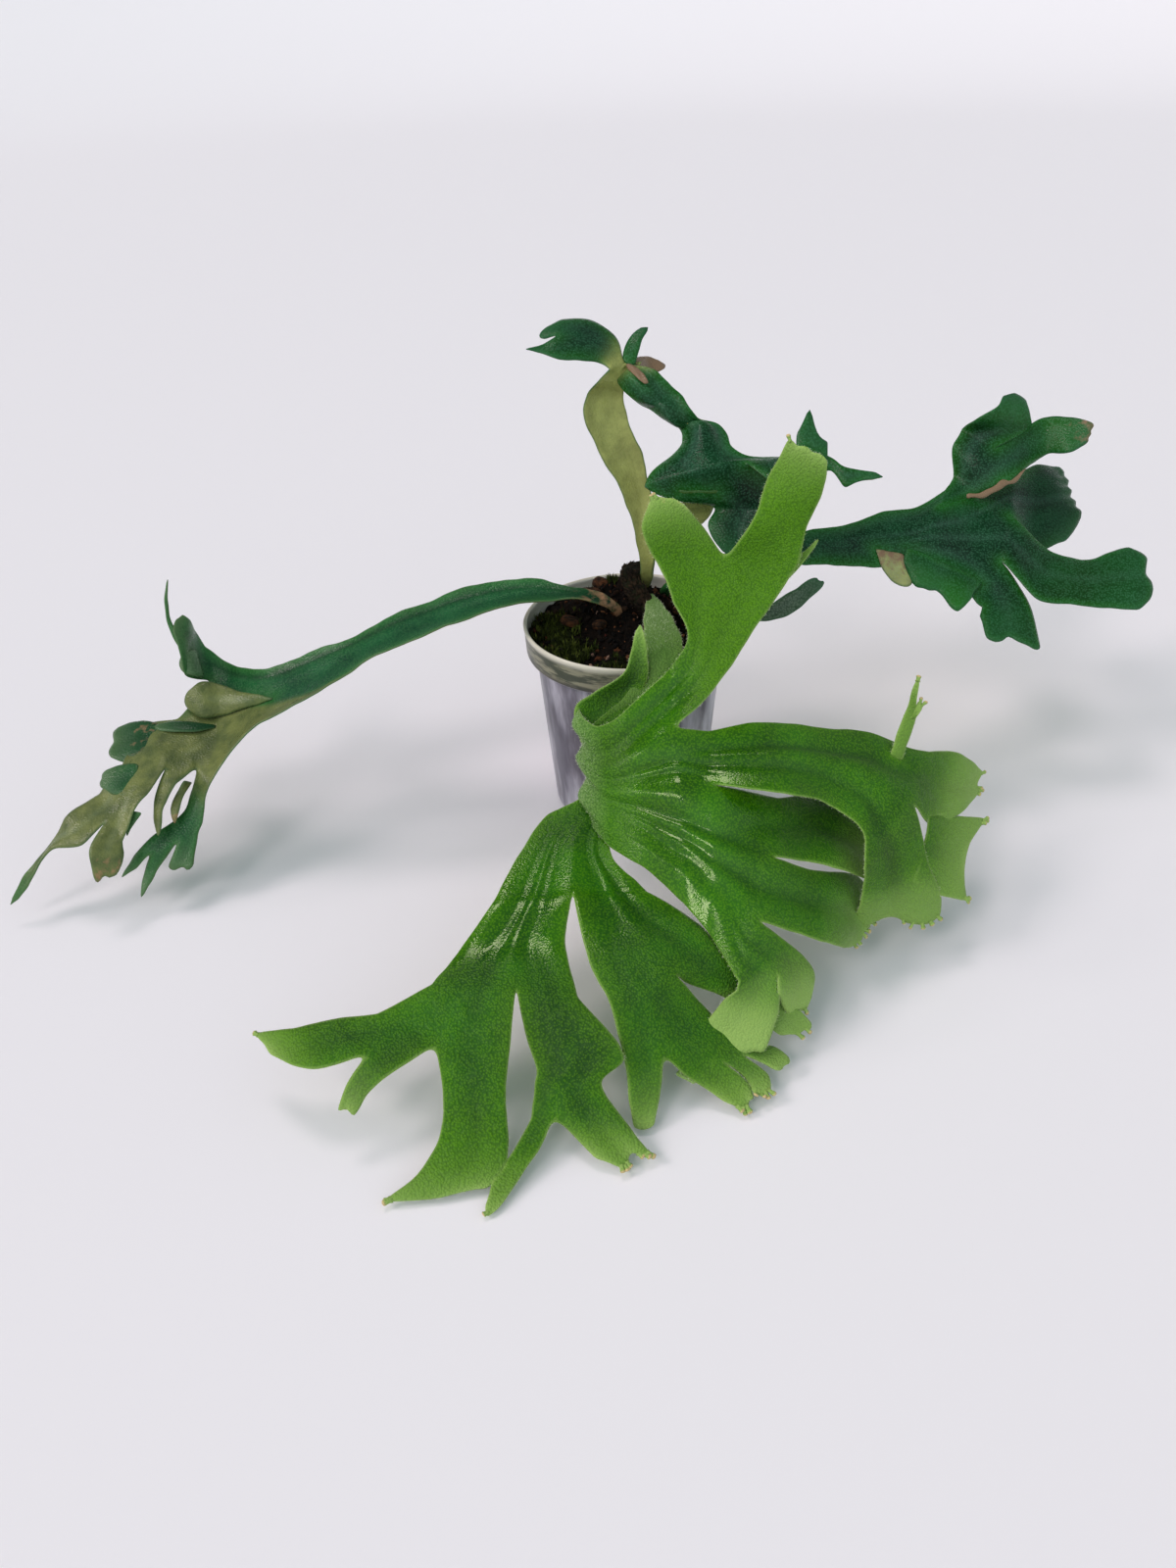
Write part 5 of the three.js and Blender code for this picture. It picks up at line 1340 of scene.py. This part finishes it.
BACK_FROND = {
    "ribs": [[652, 608, 82, 662, 608, 82], [653, 585, 97, 666, 585, 97], [650, 553, 112, 670, 560, 110],
             [635, 504, 132, 664, 504, 131], [612, 463, 148, 655, 463, 147], [596, 425, 163, 641, 430, 159],
             [598, 402, 171, 636, 404, 168], [610, 390, 176, 640, 390, 174], [622, 378, 180, 655, 368, 181]],
    "base": 2.4, "arch": -0.12, "under": 1, "wave": 0.5, "frill": 0.3,
    "kids": [
        {"until": 0.5, "under": 0,
         "ribs": [[612, 371, 182, 630, 348, 187], [590, 368, 185, 600, 326, 194],
                  [570, 367, 186, 574, 326, 195]],
         "kids": [
             {"until": 0.5, "ribs": [[553, 361, 188, 554, 352, 190], [542, 358, 189, 542, 355, 190]],
              "end": POINTED_END},
             {"until": 1, "ribs": [[556, 346, 191, 557, 334, 194]], "end": ROUND_END}]},
        {"until": 1, "under": 0,
         "arch": 0.16, "crease": (0.62, 3.4), "frill": 0.7, "wave": 0.8, "pleat": 1.6,
         "ribs": [[665, 377, 179, 630, 388, 175], [679, 388, 176, 641, 404, 170],
                  [694, 401, 171.5, 660, 413, 166],
                  [705, 418, 166, 676, 426, 162], [717, 427, 162, 690, 432, 159],
                  [735, 434, 159, 697, 446, 156],
                  [748, 456, 154, 690, 464, 151], [764, 466, 151, 668, 480, 146],
                  [800, 468, 150, 657, 497, 141]],
         "kids": [
             {"until": 0.3,
              "ribs": [[820, 455, 157, 804, 500, 146], [846, 467, 153, 849, 480, 149],
                       [861, 475, 151, 863, 497, 145],
                       [880, 480, 149, 877, 492, 146], [894, 484, 148, 892, 489, 147]], "end": POINTED_END},
             {"until": 1, "arch": 0.1,
              "ribs": [[797, 505, 137, 686, 510, 137], [793, 525, 131, 730, 518, 133],
                       [785, 545, 125, 721, 537, 127],
                       [775, 561, 120, 738, 563, 120]],
              "end": ROUND_END}]}],
}
BACK_INNER = {
    "ribs": [[733, 499, 142.3, 692, 499, 142.4], [731, 511, 135, 694, 509, 136],
             [725, 525, 128, 702, 521, 129.5],
             [716, 534, 124, 708, 531, 125.4]],
    "end": POINTED_END, "under": [0.2, 0.7, 0.8, 0.8],
}
BACK_HORN = {
    "ribs": [[812, 472, 152.7, 843, 476, 150.3], [813, 456, 156.4, 844, 462, 155],
             [813, 443, 160.6, 845, 452, 157.4]],
    "end": [0.5, 3, 8, 14, 6, 2.6, 1, 0.5, 0.5],
}
BACK_CURL = {
    "ribs": [[632, 374, 180, 648, 374, 180], [641, 346, 188, 654, 350, 187], [649, 338, 190, 661, 338, 190]],
    "end": FORKED_END,
}
BACK_PATCH = {
    "ribs": [[637, 369, 181.8, 641, 377, 179.2], [647, 373, 180.6, 651, 386, 178],
             [657, 381, 179.2, 658, 392, 176.2]],
    "end": POINTED_END, "dry": 1, "pleat": 0,
}
BACK_DISC = {
    "ribs": [[646, 366, 181, 650, 386, 177.2], [662, 364, 179, 664, 384, 174],
             [672, 369, 177, 672, 379, 175]],
    "end": ROUND_END, "dry": 1,
}
bloom_skin, _ = leaf_skin(
    "blue_green_leather", gloss=0.3, bare_gloss=0.22, shine=0.22, grain=1200, relief=0.25, scurf_share=0.3,
    vein_share=0.25, mottling=0.3, green="0a4222", deep="01120a", fresh="2f7c18", channel="5a8070",
    pale="2f6040", under="a6ab68", dry="86705a", scurf="5c9676", down="9aa493")
bloom = (bloom_skin, "old_leaf")
frond("back_frond_blade", [BACK_FROND, BACK_INNER, BACK_HORN, BACK_CURL, BACK_PATCH, BACK_DISC], 6, bloom,
      ["back_frond"])


# Right frond. A dark blue-green frond whose stipe leaves the crown behind the front frond. It ends far to
# the right in a crest of broad overlapping lobes with ragged brown tips and folded pinkish margins.

RIGHT_FROND = {
    "ribs": [[674, 612, 80, 682, 612, 80], [677, 597, 93, 686, 600, 92], [702, 580, 101, 707, 590, 99],
             [740, 565, 105, 742, 578, 102], [790, 552, 107, 790, 573, 102], [823, 543, 108, 822, 576, 101],
             [871, 534, 108, 858, 578, 99], [898, 524, 109, 895, 579, 97], [937, 517, 109, 916, 580, 95],
             [963, 503, 111, 927, 584, 94]],
    "base": 2.2, "slim": 4, "arch": 0.08, "wave": 0.5, "frill": 0.4,
    "kids": [
        {"until": 0.3,
         "ribs": [[973, 485, 116, 992, 509, 108], [972, 455, 128, 1023, 497, 113],
                  [982, 438, 134, 1040, 485, 117]],
         "kids": [
             {"until": 0.5, "young": 0.4,
              "ribs": [[996, 427, 141, 1050, 436, 134], [1019, 414, 146, 1051, 423, 140],
                       [1023, 404, 149, 1047, 408, 145]],
              "end": [0, 1.2, 2.4, 1.4, 0]},
             {"until": 1, "young": 0.5, "dry": [0, 0.05, 0.15, 0.45],
              "ribs": [[1064, 427, 134, 1069, 464, 121], [1088, 425, 136, 1091, 462, 124],
                       [1106, 429, 136, 1106, 455, 127]],
              "end": [0.5, 4, 4.4, 2.6, 3.4, 1.6, 2.2, 0.4]}]},
        {"until": 1, "ribs": [[996, 505, 108, 985, 604, 86], [1030, 491, 108, 1002, 620, 81]],
         "kids": [
             # Youth below zero darkens this lobe to the deep tone: painted shade from the lobe that lies over
             # it
             {"until": 0.35, "young": -0.5, "dry": [0, 0, 0.12],
              "ribs": [[1058, 475, 107, 1052, 561, 91], [1080, 477, 105, 1086, 553, 90]],
              "end": [0.6, 3.0, 2.6, 4.8, 3.4, 5.6, 4.2, 7.0, 6.4, 9.2, 8.8, 7.0, 4.4, 0.6]},
             {"until": 0.7, "young": 0.2,
              "ribs": [[1075, 565, 91, 1060, 612, 83], [1110, 571, 89, 1105, 619, 80],
                       [1148, 558, 92, 1158, 623, 77]],
              "end": [1.4, 6.4, 8.6, 7.4, 6.6, 8.6, 8.8, 7.4, 2.0]},
             {"until": 1, "young": 0.2,
              "ribs": [[1051, 619, 79, 1000, 630, 78], [1057, 640, 74, 1003, 642, 75]],
              "end": [11, 12, 9.4, 7.6, 4, 7, 7.4, 5]}]}],
}
RIGHT_FLAP = {
    "ribs": [[1001, 596, 87.4, 924, 561, 100.6], [996, 604, 86.2, 921, 572, 98.3],
             [989, 610, 86, 928, 590, 92]],
    "end": [0.5, 5.5, 9.5, 8.5, 3.5, 1.6, 3.2, 2.8, 3.6, 0.4], "frill": 1.3, "young": [0, 0.3, 0.9],
              "wave": 1, "pleat": 1.6,
}
RIGHT_SEAM = {
    "ribs": [[986, 506, 110.5, 987, 510, 109], [1003, 500, 112.5, 1004, 506, 110.5],
             [1020, 493, 115, 1022, 500, 112.5], [1034, 485, 117, 1036, 491, 115],
             [1043, 479, 119, 1044, 482, 118]],
    "end": POINTED_END, "dry": 1, "pleat": 0, "wave": 1.4,
}
RIGHT_CURL = {
    "ribs": [[922, 566, 100, 892, 561, 102], [926, 581, 95, 898, 576, 98], [931, 593, 91, 910, 593, 93]],
    "end": ROUND_END, "under": 1, "dry": [0.6, 0.35, 0.2], "down": 0.4, "frill": 0.8,
}
frond("right_frond_blade", [RIGHT_FROND, RIGHT_FLAP, RIGHT_SEAM, RIGHT_CURL], 7, bloom, ["right_frond"])


# Small rear frond. A young stem that leans out behind the crown to the right, with one grey-green lobe
# that curls at its tip.

SMALL_FROND = {
    "ribs": [[694, 624, 78, 702, 624, 78], [702, 612, 90, 710, 616, 89], [735, 617, 97, 737, 627, 95],
             [779, 619, 97, 783, 634, 92], [803, 606, 99, 812, 623, 93], [826, 591, 102, 839, 599, 98]],
    "base": 1.8, "slim": 3, "arch": -0.1, "young": -0.7, "down": [0, 0, 0.1, 0.3, 0.4, 0.2],
               "end": FORKED_END,
}
frond("small_frond_blade", [SMALL_FROND], 8, bloom, ["small_frond"])


# Setting. A pale sheet laid flat that sweeps up far away on all sides, four far soft lamps from the left,
# the front left and above, a sky that is dim up behind and bright to the front, and a camera at the
# photograph's place and angle.

FLOOR_FLAT = 3200.0
FLOOR_RISE = 1300.0
FLOOR_REACH = 7500.0
# Far soft lamps as (direction, strength, width in degrees, tint)
LAMPS = [
    ((-1.0, -0.15, 0.85), 0.95, 18, (1.0, 0.855, 0.875)),
    ((-0.7, -0.9, 1.05), 0.6, 16, (1.0, 0.86, 0.88)),
    ((-0.15, 0.3, 0.95), 0.5, 16, (1.0, 0.86, 0.89)),
    ((-0.9, 0.1, 0.5), 0.15, 10, (1.0, 0.855, 0.875)),
]
# The sky is dim up behind the plant, so that the leaves mirror little of it, and bright to the front
DIM_SIDE = (0.0, 0.77, 0.64)
SKY_GLOW = (1.12, 0.15)
SKY_TINT = (0.86, 1.0, 1.0, 1)
VIEW_GAMMA = 0.9
SENSOR = 36
FRAME_HEIGHT = 1600

floor_radius = np.linspace(0, 1, 40) ** 2 * FLOOR_REACH
floor_height = FLOOR_RISE * smooth(floor_radius, FLOOR_FLAT, FLOOR_REACH)
floor_points, floor_faces = turned(np.stack([floor_radius, floor_height], axis=-1), 96)
floor_mesh = bpy.data.meshes.new("floor")
floor_mesh.from_pydata((floor_points * 0.001).tolist(), [],
                       [f[::-1] for s in floor_faces for f in s.tolist()])
floor_mesh.polygons.foreach_set("use_smooth", np.ones(len(floor_mesh.polygons), bool))
floor_finish, _, _ = finish_of("pale_sheet", Base_Color=paint("eeecf0"), Roughness=0.75)
floor_mesh.materials.append(floor_finish)
floor = bpy.data.objects.new("floor", floor_mesh)
bpy.context.scene.collection.objects.link(floor)

for number, (spot, strength, width, tint) in enumerate(LAMPS, 1):
    lamp = bpy.data.lights.new(f"softbox_{number}", "SUN")
    lamp.energy = strength
    lamp.angle = math.radians(width)
    lamp.color = tint
    holder = bpy.data.objects.new(f"softbox_{number}", lamp)
    holder.rotation_mode = "QUATERNION"
    holder.rotation_quaternion = Vector(spot).to_track_quat("Z", "Y")
    bpy.context.scene.collection.objects.link(holder)
sky = bpy.data.worlds.new("sky")
sky.use_nodes = True
sky.node_tree.nodes["Background"].inputs["Color"].default_value = SKY_TINT
way = node(sky.node_tree, "TexCoord").outputs["Generated"]
facing = node(sky.node_tree, "VectorMath", {0: way, 1: DIM_SIDE}, operation="DOT_PRODUCT").outputs["Value"]
glow = ramp(sky.node_tree, facing, -0.5, 1, SKY_GLOW[0], SKY_GLOW[1])
sky.node_tree.links.new(glow, sky.node_tree.nodes["Background"].inputs["Strength"])
bpy.context.scene.world = sky
bpy.context.scene.view_settings.view_transform = "Standard"
bpy.context.scene.view_settings.gamma = VIEW_GAMMA

lens = bpy.data.cameras.new("camera")
lens.sensor_width = SENSOR
lens.lens = FOCAL / FRAME_HEIGHT * SENSOR
lens.clip_start = 0.01
lens.clip_end = 20
camera = bpy.data.objects.new("camera", lens)
camera.location = EYE * 0.001
camera.rotation_mode = "QUATERNION"
camera.rotation_quaternion = Matrix(np.stack([ACROSS, UPWARD, -AHEAD], axis=-1).tolist()).to_quaternion()
bpy.context.scene.collection.objects.link(camera)
bpy.context.scene.camera = camera
